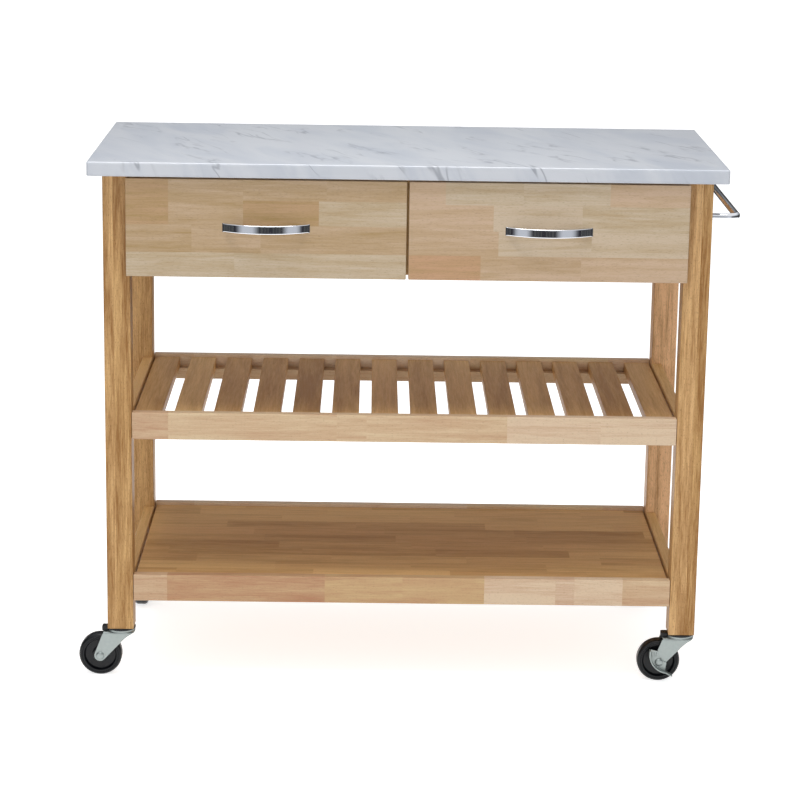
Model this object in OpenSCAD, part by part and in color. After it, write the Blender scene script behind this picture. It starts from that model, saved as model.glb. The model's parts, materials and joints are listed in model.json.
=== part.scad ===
// Kitchen cart: a worktop on four square legs, two drawers side by side under it,
// a slatted shelf, a solid shelf, a towel bar at the right and four swivel casters.
// Millimetres. +Z is up, +X is to the right and the drawers open towards -Y.
// The origin is on the floor, under the middle of the worktop's width, halfway
// between the front of the handles and the back of the worktop.

/* [Worktop] */
// Width of the worktop, left to right
top_w = 1070; // [960:10:1300]
// Depth of the worktop, front to back
top_d = 500; // [460:10:620]
// Thickness of the worktop
top_t = 24; // [18:1:40]
// Height of the worktop's upper face above the floor
top_h = 912; // [880:2:960]
// Radius of the worktop's upright corners
top_corner_r = 3; // [1:0.5:8]
// How far the worktop reaches past the legs at each side
side_overhang = 23; // [10:1:40]
// How far the worktop reaches past the legs in front
front_overhang = 26; // [20:1:40]
// How far the worktop reaches past the legs behind
back_overhang = 2; // [0:1:20]

/* [Frame] */
// Side of a leg's square section
leg_w = 45; // [40:1:60]
// Rounding of a leg's long edges
leg_round = 2; // [1:0.5:5]
// Thickness of the rails, aprons, divider and flat top rail
board_t = 18; // [16:1:24]
// Height of the aprons round the drawers
apron_h = 165; // [150:1:180]
// Depth of the flat rail above the drawers
top_rail_d = 60; // [45:1:90]
// Gap left in the joint between a shelf rail's end and the leg
joint_gap = 0.7; // [0.2:0.1:0.9]
// Side of the square strips under the worktop and under the shelves
cleat_w = 18; // [15:1:24]
// How far a cleat stays short of each end of what carries it
cleat_short = 20; // [10:1:60]

/* [Shelves] */
// Height of the middle shelf's rails' upper edge above the floor
middle_rail_top = 478; // [420:2:520]
// Height of the lower shelf's rails' upper edge above the floor
lower_rail_top = 188; // [170:2:240]
// Height of a shelf rail's face
rail_h = 47; // [44:1:70]
// How deep the shelf surfaces lie below the rails' upper edges
shelf_recess = 5; // [2:0.5:8]
// Thickness of the slats and of the lower shelf's panel
shelf_t = 18; // [12:1:20]
// Width of one slat
slat_w = 46.5; // [30:0.5:50]
// Number of slats
slat_count = 14; // [8:1:14]
// Gap between a shelf's end and the side rails
shelf_end_gap = 3; // [1:0.5:8]

/* [Drawers] */
// Height of a drawer front
front_h = 166; // [150:1:168]
// Thickness of a drawer front
front_t = 16; // [12:1:20]
// Gap between the two drawer fronts
front_gap = 4; // [2:0.5:8]
// How far a drawer front laps over the leg beside it
front_lap = 5; // [2:1:12]
// Gap between the worktop and the drawer fronts
front_top_gap = 4; // [2:0.5:8]
// Height of a drawer box
box_h = 120; // [90:1:130]
// Thickness of a drawer box's boards
box_t = 13; // [11:0.5:16]
// Gap behind a closed drawer box, up to the back apron
box_back_gap = 34; // [15:1:60]
// Gap between the drawer box and the flat rail above it
box_top_gap = 6; // [3:1:15]
// Thickness of a drawer's bottom
bottom_t = 5; // [3:0.5:6]
// Height of a drawer's bottom above the lower edge of its box
bottom_up = 10; // [8:1:20]
// Height of a wooden runner
runner_h = 16; // [12:1:20]
// How far a runner stands out from the board that carries it
runner_out = 10; // [8:0.5:12]
// Depth of the groove that a runner slides in
groove_deep = 7; // [5:0.5:8]
// Play between a runner and its groove
slide_play = 0.4; // [0.3:0.1:1]

/* [Handles] */
// Distance between a handle's two screws
handle_centres = 128; // [96:1:160]
// Distance from a handle's screw to the end of its foot
handle_end = 10; // [8:1:14]
// Height of a handle's flat strap
handle_h = 15; // [10:0.5:18]
// Thickness of a handle's strap
handle_t = 4; // [3:0.5:6]
// How far a handle stands out from its drawer front
handle_out = 26; // [22:1:35]
// How far a handle sits above the middle of its drawer front
handle_up = 2; // [0:1:30]
// Diameter of a handle screw
handle_screw_d = 4; // [3:0.5:5]

/* [Towel bar] */
// Diameter of the towel bar
bar_d = 12; // [8:0.5:14]
// Distance from the legs' outer faces to the middle of the bar
bar_out = 45.5; // [35:0.5:60]
// Height of the bar's middle below the worktop's lower face
bar_down = 62; // [40:1:120]
// Radius of the bar's bends, at the middle of the rod
bar_bend_r = 18; // [10:1:25]
// Diameter of the screws that hold the bar
bar_screw_d = 5; // [4:0.5:6]

/* [Casters] */
// Height from the floor to the underside of a leg
caster_h = 89; // [88:1:96]
// Diameter of a wheel
wheel_d = 75; // [70:1:76]
// Width of a wheel's tread
wheel_w = 24; // [20:1:28]
// Distance from the swivel axis to the axle
trail = 37; // [32:1:42]
// Thickness of the fork's steel
fork_t = 2.5; // [2:0.5:3]
// Gap between the wheel's tread and the inside of a cheek
cheek_gap = 2.5; // [1.5:0.5:4]
// Diameter of the fork's round head
head_d = 46; // [42:1:50]
// Diameter of the kingpin that the fork swivels on
kingpin_d = 12; // [10:1:14]
// Diameter of the axle
axle_d = 8; // [6:0.5:10]
// Diameter of the threaded shank in the leg
shank_d = 10; // [8:1:12]
// Length of the threaded shank in the leg
shank_l = 38; // [30:1:45]
// Running play round the axle and the kingpin, on the radius
run_play = 0.06; // [0.03:0.01:0.1]

/* [Fasteners] */
// Diameter of the frame bolts
bolt_d = 6; // [5:0.5:8]
// Diameter of a frame bolt's head
bolt_head_d = 12; // [10:0.5:14]
// Thickness of a frame bolt's head
bolt_head_t = 3.5; // [3:0.5:5]
// How far a frame bolt's head lies below the leg's outer face
bolt_sink = 1.5; // [0.5:0.5:4]
// How far a frame bolt reaches into a rail
bolt_in = 34; // [30:1:45]
// Diameter of a barrel nut
nut_d = 10; // [9:0.5:12]
// Diameter of a dowel
dowel_d = 8; // [6:1:8]
// Length of a dowel
dowel_l = 30; // [24:1:36]
// Diameter of a wood screw
screw_d = 4; // [3:0.5:5]

/* [Hidden] */
$fn = 48;
// Play between a fixed fastener and its hole, on the radius
hole_play = 0.1;
// Overrun of a cut past the face that it opens in
cut = 1;

// Plan of the frame
handle_beyond = max(handle_out + front_t - front_overhang, 0);
top_front = handle_beyond / 2 - top_d / 2;
top_back = top_front + top_d;
leg_front = top_front + front_overhang;
leg_back = top_back - back_overhang;
leg_out = top_w / 2 - side_overhang;
leg_in = leg_out - leg_w;
leg_top = top_h - top_t;
leg_cx = leg_out - leg_w / 2;
front_leg_y = leg_front + leg_w / 2;
back_leg_y = leg_back - leg_w / 2;
side_l = leg_back - leg_front - 2 * leg_w;
CORNERS = [[-1, front_leg_y], [1, front_leg_y], [-1, back_leg_y], [1, back_leg_y]];

// Heights that the joints share
rail_z = function(top) top - rail_h / 2;
shelf_z = function(top) top - shelf_recess;
apron_bolt_in = 38;
apron_bolts = [leg_top - apron_bolt_in, leg_top - apron_h + apron_bolt_in];
top_rail_bolt_z = leg_top - board_t / 2;
back_bolt_y = leg_back - board_t / 2;
front_bolt_y = leg_front + board_t / 2;
top_rail_bolt_y = leg_front + top_rail_d / 2;
bar_z = leg_top - bar_down;

// Drawers
front_w = leg_in + front_lap - front_gap / 2;
front_cx = front_gap / 2 + front_w / 2;
front_z = leg_top - front_top_gap - front_h;
bay_in = board_t / 2;
bay_w = leg_in - bay_in;
bay_cx = (leg_in + bay_in) / 2;
box_side_gap = runner_out - groove_deep + slide_play;
box_w = bay_w - 2 * box_side_gap;
box_l = leg_back - board_t - box_back_gap - leg_front;
box_z = leg_top - board_t - box_top_gap - box_h;
runner_z = box_z + box_h * 0.5;
runner_l = leg_back - board_t - leg_front - board_t;
handle_z = front_z + front_h / 2 + handle_up;
bottom_groove = box_t / 2;

// Casters
cheek_in = wheel_w / 2 + cheek_gap;
cheek_out = cheek_in + fork_t;
axle_z = wheel_d / 2;
head_drop = 11;
race_h = 4;
race_gap = 0.2;
cover_drop = 0.8;
plate_z = caster_h - head_drop;
head_top = plate_z + fork_t + race_h;
cover_top = caster_h - cover_drop;
// How far each caster is swivelled at rest, from trailing towards -X
TURNS = [0, 0, 90, 0];

// Colours
leg_wood = [0.72, 0.50, 0.27];
pale_wood = [0.83, 0.68, 0.48];
plain_wood = [0.76, 0.58, 0.38];
marble = [0.86, 0.87, 0.89];
chrome = [0.80, 0.81, 0.83];
zinc = [0.66, 0.68, 0.68];
black = [0.05, 0.05, 0.06];

// Shared shapes

// A box from its low corner and its size
module block(low, size) {
    translate(low) cube(size);
}

// A rod along X, from its start
module rod_x(start, length, d) {
    translate(start) rotate([0, 90, 0]) cylinder(h = length, d = d);
}

// A rod along Y, from its start
module rod_y(start, length, d) {
    translate(start) rotate([-90, 0, 0]) cylinder(h = length, d = d);
}

// A flat rectangle, centred, with round corners
module round_rect(w, d, r) {
    square([w - 2 * r, d], center = true);
    square([w, d - 2 * r], center = true);
    for (x = [-1, 1], y = [-1, 1]) translate([x * (w / 2 - r), y * (d / 2 - r)]) circle(r = r);
}

// A mirror image in X where the side is -1
module on_side(side) {
    if (side < 0) mirror([1, 0, 0]) children();
    else children();
}

// The same thing on both sides of the middle
module both_sides() {
    for (side = [-1, 1]) on_side(side) children();
}

// Points along an arc, from one angle to another
function arc_points(cx, cy, r, from, to, steps) =
    [for (i = [0:steps]) let (a = from + (to - from) * i / steps) [cx + r * cos(a), cy + r * sin(a)]];

// A flat piece of a ring between two radii and two angles
module ring_piece(r_in, r_out, from, to) {
    difference() {
        intersection() {
            circle(r = r_out);
            polygon(concat([[0, 0]], arc_points(0, 0, 2 * r_out, from, to, 6)));
        }
        circle(r = r_in);
    }
}

// Places of the fasteners

// Bolts run along X through a leg into the end of a board; each entry is [y, z]
BOLTS = [
    [front_bolt_y, rail_z(middle_rail_top)], [back_bolt_y, rail_z(middle_rail_top)],
    [front_bolt_y, rail_z(lower_rail_top)], [back_bolt_y, rail_z(lower_rail_top)],
    [top_rail_bolt_y, top_rail_bolt_z],
    [back_bolt_y, apron_bolts[0]], [back_bolt_y, apron_bolts[1]]
];

bolt_head_x = leg_out - bolt_sink - bolt_head_t;
nut_l = 12.6;

module bolt_holes() {
    for (b = BOLTS) both_sides() {
        rod_x([leg_in - bolt_in - cut, b[0], b[1]], bolt_in + leg_w + 2 * cut, bolt_d + 2 * hole_play);
        rod_x([bolt_head_x, b[0], b[1]], bolt_sink + bolt_head_t + cut, bolt_head_d + 2 * hole_play);
    }
}

// A barrel nut stands upright inside its rail, at the bolt's inner end
module barrel_at(b, extra) {
    translate([leg_in - bolt_in + nut_d / 2, b[0], b[1]])
        cylinder(h = nut_l, d = nut_d + 2 * extra, center = true);
}

// Dowels run along Y between a leg and the end of an apron or side rail
dowel_x = leg_in + board_t / 2;
rail_dowel_in = 12;
apron_dowel_in = 30;
DOWEL_Z = [
    middle_rail_top - rail_dowel_in, middle_rail_top - rail_h + rail_dowel_in,
    lower_rail_top - rail_dowel_in, lower_rail_top - rail_h + rail_dowel_in,
    leg_top - apron_dowel_in, leg_top - apron_h / 2, leg_top - apron_h + apron_dowel_in
];

module dowel_rods(extra) {
    for (y = [leg_front + leg_w, leg_back - leg_w], z = DOWEL_Z) both_sides() {
        rod_y([dowel_x, y - dowel_l / 2 - extra, z], dowel_l + 2 * extra, dowel_d + 2 * extra);
    }
}

// The bar's screws run through the right legs, with their heads sunk in the inner faces
bar_head_x = leg_in + 1;
bar_head_t = 3.5;
bar_head_d = 2 * bar_screw_d;

module bar_screw_rods(extra) {
    for (y = [front_leg_y, back_leg_y]) {
        rod_x([bar_head_x, y, bar_z], leg_out + bar_d - bar_head_x + extra, bar_screw_d + 2 * extra);
        rod_x([bar_head_x, y, bar_z], bar_head_t, bar_head_d + 2 * extra);
    }
}

// Screws that hold the worktop rise through the flat front rail and the two cleats
top_screw_x = leg_in - cleat_w / 2;
top_screw_gap = 210;
top_screw_y = leg_front + top_rail_d / 2;
TOP_SCREWS = concat(
    [for (i = [-1.5:1:1.5]) [i * top_screw_gap, top_screw_y, board_t]],
    [for (s = [-1, 1], y = [-1, 1])
        [s * top_screw_x, (leg_front + leg_back + y * top_screw_gap) / 2, cleat_w]]
);
screw_grip = 14;
screw_head_t = 2.5;
screw_head_d = 2 * screw_d;

module top_screw_rods(extra) {
    for (p = TOP_SCREWS) translate([p[0], p[1], leg_top - p[2]]) {
        cylinder(h = p[2] + screw_grip + extra, d = screw_d + 2 * extra);
        translate([0, 0, -extra]) cylinder(h = screw_head_t + extra, d = screw_head_d + 2 * extra);
    }
}

// Worktop

module worktop() {
    color(marble) difference() {
        translate([0, (top_front + top_back) / 2, leg_top])
            linear_extrude(top_t) round_rect(top_w, top_d, top_corner_r);
        top_screw_rods(hole_play);
    }
}

// Legs, aprons, divider and runners

module leg(side, y) {
    color(leg_wood) difference() {
        translate([side * leg_cx, y, caster_h])
            linear_extrude(leg_top - caster_h) round_rect(leg_w, leg_w, leg_round);
        bolt_holes();
        dowel_rods(hole_play);
        if (side > 0) {
            bar_screw_rods(hole_play);
            rod_x([leg_in - cut, y, bar_z], bar_head_x - leg_in + 2 * cut, bar_head_d + 2 * hole_play);
        }
        translate([side * leg_cx, y, caster_h - cut])
            cylinder(h = shank_l + 2 * cut, d = shank_d + 2 * hole_play);
    }
}

module leg_front_left() { leg(-1, front_leg_y); }
module leg_front_right() { leg(1, front_leg_y); }
module leg_back_left() { leg(-1, back_leg_y); }
module leg_back_right() { leg(1, back_leg_y); }

module side_apron(side) {
    color(plain_wood) on_side(side) difference() {
        block([leg_in, leg_front + leg_w, leg_top - apron_h], [board_t, side_l, apron_h]);
        dowel_rods(hole_play);
    }
}

module side_apron_left() { side_apron(-1); }
module side_apron_right() { side_apron(1); }

module back_apron() {
    color(plain_wood) difference() {
        block([-leg_in, leg_back - board_t, leg_top - apron_h], [2 * leg_in, board_t, apron_h]);
        bolt_holes();
        for (b = [BOLTS[5], BOLTS[6]]) both_sides() barrel_at(b, hole_play);
    }
}

module top_front_rail() {
    color(plain_wood) difference() {
        block([-leg_in, leg_front, leg_top - board_t], [2 * leg_in, top_rail_d, board_t]);
        bolt_holes();
        both_sides() barrel_at(BOLTS[4], hole_play);
        top_screw_rods(hole_play);
    }
}

// The cleats run behind the flat rail, against the side aprons and under the worktop
module top_cleats() {
    color(plain_wood) difference() {
        both_sides() block(
            [leg_in - cleat_w, leg_front + top_rail_d, leg_top - cleat_w],
            [cleat_w, side_l + leg_w - top_rail_d, cleat_w]);
        top_screw_rods(hole_play);
    }
}

module drawer_divider() {
    color(plain_wood) block(
        [-board_t / 2, leg_front, leg_top - apron_h],
        [board_t, leg_back - board_t - leg_front, apron_h - board_t]);
}

// Four strips that the drawers slide on: one each side of both bays
module drawer_runners() {
    color(pale_wood) both_sides() {
        for (x = [bay_in, leg_in - runner_out]) block(
            [x, leg_front + board_t, runner_z - runner_h / 2],
            [runner_out, runner_l, runner_h]);
    }
}

// Shelves

module cross_rail(y, top, bolt) {
    color(pale_wood) difference() {
        block([-leg_in + joint_gap, y, top - rail_h], [2 * (leg_in - joint_gap), board_t, rail_h]);
        bolt_holes();
        both_sides() barrel_at(bolt, hole_play);
    }
}

module side_rails(top) {
    color(plain_wood) both_sides() difference() {
        block([leg_in, leg_front + leg_w, top - rail_h], [board_t, side_l, rail_h]);
        dowel_rods(hole_play);
    }
}

module middle_front_rail() { cross_rail(leg_front, middle_rail_top, BOLTS[0]); }
module middle_back_rail() { cross_rail(leg_back - board_t, middle_rail_top, BOLTS[1]); }
module middle_side_rails() { side_rails(middle_rail_top); }
module lower_front_rail() { cross_rail(leg_front, lower_rail_top, BOLTS[2]); }
module lower_back_rail() { cross_rail(leg_back - board_t, lower_rail_top, BOLTS[3]); }
module lower_side_rails() { side_rails(lower_rail_top); }

shelf_w = 2 * (leg_in - shelf_end_gap);
shelf_front = leg_front + board_t;
shelf_d = leg_back - leg_front - 2 * board_t;
slat_pitch = (shelf_w - slat_w) / (slat_count - 1);

module middle_slats() {
    color(plain_wood) for (i = [0:slat_count - 1]) block(
        [-shelf_w / 2 + i * slat_pitch, shelf_front, shelf_z(middle_rail_top) - shelf_t],
        [slat_w, shelf_d, shelf_t]);
}

module lower_shelf_panel() {
    color(plain_wood) block(
        [-shelf_w / 2, shelf_front, shelf_z(lower_rail_top) - shelf_t],
        [shelf_w, shelf_d, shelf_t]);
}

// A strip along the inside of each front and back shelf rail carries the shelf
cleat_h = min(cleat_w, rail_h - shelf_recess - shelf_t);
cleat_l = 2 * (leg_in - cleat_short);

module shelf_cleats() {
    color(pale_wood) for (top = [middle_rail_top, lower_rail_top])
        for (y = [shelf_front, shelf_front + shelf_d - cleat_w])
            block([-cleat_l / 2, y, shelf_z(top) - shelf_t - cleat_h], [cleat_l, cleat_w, cleat_h]);
}

// Towel bar

module quarter_bend(r, d) {
    rotate_extrude(angle = 90) translate([r, 0]) circle(d = d);
}

module towel_bar() {
    arm = bar_out - bar_bend_r;
    run = back_leg_y - front_leg_y - 2 * bar_bend_r;
    color(chrome) difference() {
        union() {
            rod_x([leg_out, front_leg_y, bar_z], arm, bar_d);
            rod_x([leg_out, back_leg_y, bar_z], arm, bar_d);
            rod_y([leg_out + bar_out, front_leg_y + bar_bend_r, bar_z], run, bar_d);
            translate([leg_out + arm, front_leg_y + bar_bend_r, bar_z])
                rotate([0, 0, -90]) quarter_bend(bar_bend_r, bar_d);
            translate([leg_out + arm, back_leg_y - bar_bend_r, bar_z]) quarter_bend(bar_bend_r, bar_d);
        }
        bar_screw_rods(hole_play);
    }
}

module towel_bar_screws() {
    color(zinc) bar_screw_rods(0);
}

// Frame fasteners

module frame_bolts() {
    bolt_tip = leg_in - bolt_in + nut_d + hole_play;
    color(zinc) for (b = BOLTS) both_sides() {
        rod_x([bolt_tip, b[0], b[1]], bolt_head_x - bolt_tip, bolt_d);
        rod_x([bolt_head_x, b[0], b[1]], bolt_head_t, bolt_head_d);
    }
}

module barrel_nuts() {
    color(zinc) for (b = BOLTS) both_sides() barrel_at(b, 0);
}

module dowels() {
    color(pale_wood) dowel_rods(0);
}

module worktop_screws() {
    color(zinc) top_screw_rods(0);
}

// Drawers: each is drawn for the right-hand bay and mirrored for the left one

box_low_x = bay_cx - box_w / 2;
grip_l = front_t + box_t;

module handle_screw_rods(from, length, extra) {
    for (s = [-1, 1]) rod_y(
        [front_cx + s * handle_centres / 2, from, handle_z], length, handle_screw_d + 2 * extra);
}

module drawer_front(side) {
    color(pale_wood) on_side(side) difference() {
        block([front_gap / 2, leg_front - front_t, front_z], [front_w, front_t, front_h]);
        handle_screw_rods(leg_front - front_t - cut, front_t + 2 * cut, hole_play);
    }
}

module drawer_sides(side) {
    color(pale_wood) on_side(side) for (s = [-1, 1]) translate([bay_cx, 0, 0]) on_side(s) difference() {
        block([box_w / 2 - box_t, leg_front, box_z], [box_t, box_l, box_h]);
        block(
            [box_w / 2 - groove_deep, leg_front + box_t, runner_z - runner_h / 2 - slide_play],
            [groove_deep + cut, box_l, runner_h + 2 * slide_play]);
        block(
            [box_w / 2 - box_t - cut, leg_front - cut, box_z + bottom_up],
            [bottom_groove + cut, box_l + 2 * cut, bottom_t]);
    }
}

module drawer_ends(side) {
    color(pale_wood) on_side(side) difference() {
        for (y = [leg_front, leg_front + box_l - box_t]) block(
            [box_low_x + box_t, y, box_z + bottom_up + bottom_t],
            [box_w - 2 * box_t, box_t, box_h - bottom_up - bottom_t]);
        handle_screw_rods(leg_front - cut, box_t + 2 * cut, hole_play);
    }
}

module drawer_bottom(side) {
    color(plain_wood) on_side(side) block(
        [box_low_x + box_t - bottom_groove, leg_front, box_z + bottom_up],
        [box_w - 2 * box_t + 2 * bottom_groove, box_l, bottom_t]);
}

// The strap is an arc between two feet; its chord lies on the drawer front
handle_l = handle_centres + 2 * handle_end;
handle_r = (handle_l * handle_l / 4 + handle_out * handle_out) / (2 * handle_out);
foot_in = 8;
foot_w = handle_end + foot_in;
handle_screw_in = 4.5;
screw_head_h = 2.5;

module handle_outline() {
    intersection() {
        circle(r = handle_r);
        translate([-handle_l / 2, -handle_r]) square([handle_l, handle_out]);
        union() {
            difference() {
                translate([-handle_l / 2, -handle_r]) square([handle_l, handle_out]);
                circle(r = handle_r - handle_t);
            }
            for (s = [-1, 1]) translate([s * (handle_l - foot_w) / 2 - foot_w / 2, -handle_r])
                square([foot_w, handle_out]);
        }
    }
}

module drawer_handle(side) {
    centre_y = leg_front - front_t + handle_r - handle_out;
    color(chrome) on_side(side) difference() {
        translate([front_cx, centre_y, handle_z - handle_h / 2]) linear_extrude(handle_h) handle_outline();
        handle_screw_rods(
            leg_front - front_t - handle_screw_in - hole_play, handle_screw_in + cut, hole_play);
    }
}

module drawer_handle_screws(side) {
    color(zinc) on_side(side) {
        handle_screw_rods(leg_front - front_t - handle_screw_in, handle_screw_in + grip_l, 0);
        for (s = [-1, 1]) rod_y(
            [front_cx + s * handle_centres / 2, leg_front + box_t, handle_z],
            screw_head_h, 2 * handle_screw_d);
    }
}

module drawer_left_front() { drawer_front(-1); }
module drawer_left_sides() { drawer_sides(-1); }
module drawer_left_ends() { drawer_ends(-1); }
module drawer_left_bottom() { drawer_bottom(-1); }
module drawer_left_handle() { drawer_handle(-1); }
module drawer_left_handle_screws() { drawer_handle_screws(-1); }
module drawer_right_front() { drawer_front(1); }
module drawer_right_sides() { drawer_sides(1); }
module drawer_right_ends() { drawer_ends(1); }
module drawer_right_bottom() { drawer_bottom(1); }
module drawer_right_handle() { drawer_handle(1); }
module drawer_right_handle_screws() { drawer_handle_screws(1); }

// Casters: drawn round the swivel axis, with the wheel trailing towards -X

cup_wall = 2.5;
cavity_d = head_d - 2 * cup_wall;
flange_d = cavity_d - 3;
flange_z = head_top + race_gap;
ball_d = 3.6;
ball_count = 12;
race_r = cavity_d / 2 - 5;
race_z = (plate_z + fork_t + flange_z) / 2;
king_head_t = 2.5;
king_head_d = kingpin_d + 8;
king_z = plate_z - race_gap;
cover_play = 0.1;
cover_lip = 1.5;
tail_l = 11;
tail_w = 18;
lever_t = 2;
lever_gap = 0.1;
axle_head_t = 3;
axle_head_d = axle_d + 6;
axle_nut_t = 4;
axle_nut_d = axle_d + 7;
axle_end = 1;

// A cheek's side view as [x, z] from the swivel axis: a tongue down to the axle
// that spreads under the head, with a hollow front edge
cheek_back_x = -trail + 6;
cheek_front_x = head_d / 2 - 1;
cheek_r = 10;
tongue_back = 165;
tongue_front = 313;
neck_r = 60;
neck_low = 137;
neck_high = 114;
neck_cx = cheek_front_x - neck_r * cos(neck_high);
neck_cz = plate_z + 1 - neck_r * sin(neck_high);

module cheek_outline() {
    translate([-trail, axle_z]) circle(r = cheek_r);
    polygon(concat(
        [
            [cheek_front_x, plate_z + fork_t],
            [cheek_back_x, plate_z + fork_t],
            [-trail + cheek_r * cos(tongue_back), axle_z + cheek_r * sin(tongue_back)],
            [-trail + cheek_r * cos(tongue_front), axle_z + cheek_r * sin(tongue_front)]
        ],
        arc_points(neck_cx, neck_cz, neck_r, neck_low, neck_high, 5)));
}

module cheek_plate(y) {
    translate([0, y + fork_t, 0]) rotate([90, 0, 0]) linear_extrude(fork_t) cheek_outline();
}

module fork() {
    difference() {
        union() {
            cheek_plate(-cheek_out);
            cheek_plate(cheek_in);
            block(
                [cheek_back_x, -cheek_out, plate_z],
                [cheek_front_x - cheek_back_x, 2 * cheek_out, fork_t]);
            translate([0, 0, plate_z]) cylinder(h = head_top - plate_z, d = head_d);
        }
        translate([0, 0, plate_z + fork_t]) cylinder(h = head_top - plate_z, d = cavity_d);
        translate([0, 0, plate_z - cut]) cylinder(h = fork_t + 2 * cut, d = kingpin_d + 2 * run_play);
        rod_y([-trail, -cheek_out - cut, axle_z], 2 * (cheek_out + cut), axle_d + 2 * hole_play);
    }
}

// A black ring closes the head, with a block at its back over the fork's plate
module fork_cover() {
    difference() {
        union() {
            translate([0, 0, head_top]) cylinder(h = cover_top - head_top, d = head_d + 2 * cover_lip);
            block(
                [-head_d / 2 - tail_l, -tail_w / 2, plate_z + fork_t],
                [tail_l + cover_lip, tail_w, cover_top - plate_z - fork_t]);
        }
        translate([0, 0, head_top - cut]) cylinder(h = cover_top - head_top + 2 * cut, d = flange_d + 1);
        translate([0, 0, plate_z]) cylinder(h = head_top - plate_z, d = head_d + 2 * cover_play);
    }
}

// The stem's flange bears under the leg, and its riveted pin holds the fork up
module stem() {
    translate([0, 0, flange_z]) cylinder(h = caster_h - flange_z + shank_l, d = shank_d);
    translate([0, 0, flange_z]) cylinder(h = caster_h - flange_z, d = flange_d);
    translate([0, 0, king_z]) cylinder(h = flange_z - king_z, d = kingpin_d);
    translate([0, 0, king_z - king_head_t]) cylinder(h = king_head_t, d = king_head_d);
}

module balls() {
    for (i = [0:ball_count - 1]) rotate([0, 0, i * 360 / ball_count])
        translate([race_r, 0, race_z]) sphere(d = ball_d);
}

// The axle is a bolt with a round head in front and a hex nut behind
module axle(braked) {
    head_y = cheek_out + (braked ? lever_t + 3 * lever_gap : 0);
    rod_y([-trail, -head_y, axle_z], head_y + cheek_out + axle_nut_t + axle_end, axle_d);
    rod_y([-trail, -head_y - axle_head_t, axle_z], axle_head_t, axle_head_d);
    translate([-trail, cheek_out, axle_z]) rotate([-90, 0, 0])
        cylinder(h = axle_nut_t, d = axle_nut_d, $fn = 6);
}

// Half of the wheel's section, [radius, distance from the middle plane]
hub_d = 26;
hub_play = 0.3;
hub_w = 2 * (cheek_in - hub_play);
web_w = 11;
hub_edge = 1;
rim_h = 9;
rim_slope = 2;
face_in = 4;
shoulder_in = 1.2;
shoulder_w = 1.4;
tread_in = 5;
wheel_r = wheel_d / 2;
rim_r = wheel_r - rim_h;
WHEEL_HALF = [
    [axle_d / 2 + run_play, 0], [axle_d / 2 + run_play, hub_w / 2], [hub_d / 2 - hub_edge, hub_w / 2],
    [hub_d / 2, hub_w / 2 - hub_edge], [hub_d / 2, web_w / 2], [rim_r - rim_slope, web_w / 2],
    [rim_r, wheel_w / 2], [wheel_r - face_in, wheel_w / 2], [wheel_r - shoulder_in, wheel_w / 2 - shoulder_w],
    [wheel_r, wheel_w / 2 - tread_in], [wheel_r, 0]
];

module wheel() {
    translate([-trail, 0, axle_z]) rotate([90, 0, 0]) rotate_extrude($fn = 96) polygon(concat(
        WHEEL_HALF, [for (i = [len(WHEEL_HALF) - 1:-1:0]) [WHEEL_HALF[i][0], -WHEEL_HALF[i][1]]]));
}

// The brake is a stamped rocker on the axle, outside the front cheek: a crescent whose
// lower edge is bent outwards as a tread for the foot and runs on as a straight lip.
// Its arcs share a centre that is given from the axle
brake_cx = 16;
brake_cz = 16.5;
brake_r_out = 34;
brake_r_in = 17;
brake_tread = 13;
brake_lip = 14;
brake_from = 168;
brake_to = 262;
lip_turn = 20;
lip_lap = 0.5;
RIDGES = [20, 24, 28];
ridge_w = 1.5;
ridge_h = 1;
ridge_from = 176;
ridge_to = 196;

module brake() {
    difference() {
        translate([-trail + brake_cx, -cheek_out - lever_gap, axle_z + brake_cz]) rotate([90, 0, 0]) {
            linear_extrude(lever_t)
                ring_piece(brake_r_in, brake_r_out, brake_from, brake_to);
            linear_extrude(brake_tread)
                ring_piece(brake_r_out - lever_t, brake_r_out, brake_from, brake_to);
            linear_extrude(brake_tread) rotate(brake_to) translate([brake_r_out - lever_t, 0])
                rotate(-lip_turn) translate([0, -lip_lap]) square([lever_t, brake_lip]);
            for (r = RIDGES) linear_extrude(lever_t + ridge_h)
                ring_piece(r, r + ridge_w, ridge_from, ridge_to);
        }
        rod_y([-trail, -cheek_out - lever_t - cut, axle_z], lever_t + 2 * cut, axle_d + 2 * run_play);
    }
}

module at_corner(i) {
    translate([CORNERS[i][0] * leg_cx, CORNERS[i][1], 0]) rotate([0, 0, TURNS[i]]) children();
}

module caster_stems() {
    color(zinc) for (i = [0:3]) at_corner(i) stem();
}

module swivel_balls() {
    color(chrome) for (i = [0:3]) at_corner(i) balls();
}

module fork_front_left() { color(zinc) at_corner(0) fork(); }
module fork_front_right() { color(zinc) at_corner(1) fork(); }
module fork_back_left() { color(zinc) at_corner(2) fork(); }
module fork_back_right() { color(zinc) at_corner(3) fork(); }
module fork_cover_front_left() { color(black) at_corner(0) fork_cover(); }
module fork_cover_front_right() { color(black) at_corner(1) fork_cover(); }
module fork_cover_back_left() { color(black) at_corner(2) fork_cover(); }
module fork_cover_back_right() { color(black) at_corner(3) fork_cover(); }
module axle_front_left() { color(zinc) at_corner(0) axle(false); }
module axle_front_right() { color(zinc) at_corner(1) axle(true); }
module axle_back_left() { color(zinc) at_corner(2) axle(true); }
module axle_back_right() { color(zinc) at_corner(3) axle(false); }
module wheel_front_left() { color(black) at_corner(0) wheel(); }
module wheel_front_right() { color(black) at_corner(1) wheel(); }
module wheel_back_left() { color(black) at_corner(2) wheel(); }
module wheel_back_right() { color(black) at_corner(3) wheel(); }
module brake_front_right() { color(zinc) at_corner(1) brake(); }
module brake_back_left() { color(zinc) at_corner(2) brake(); }

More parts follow.
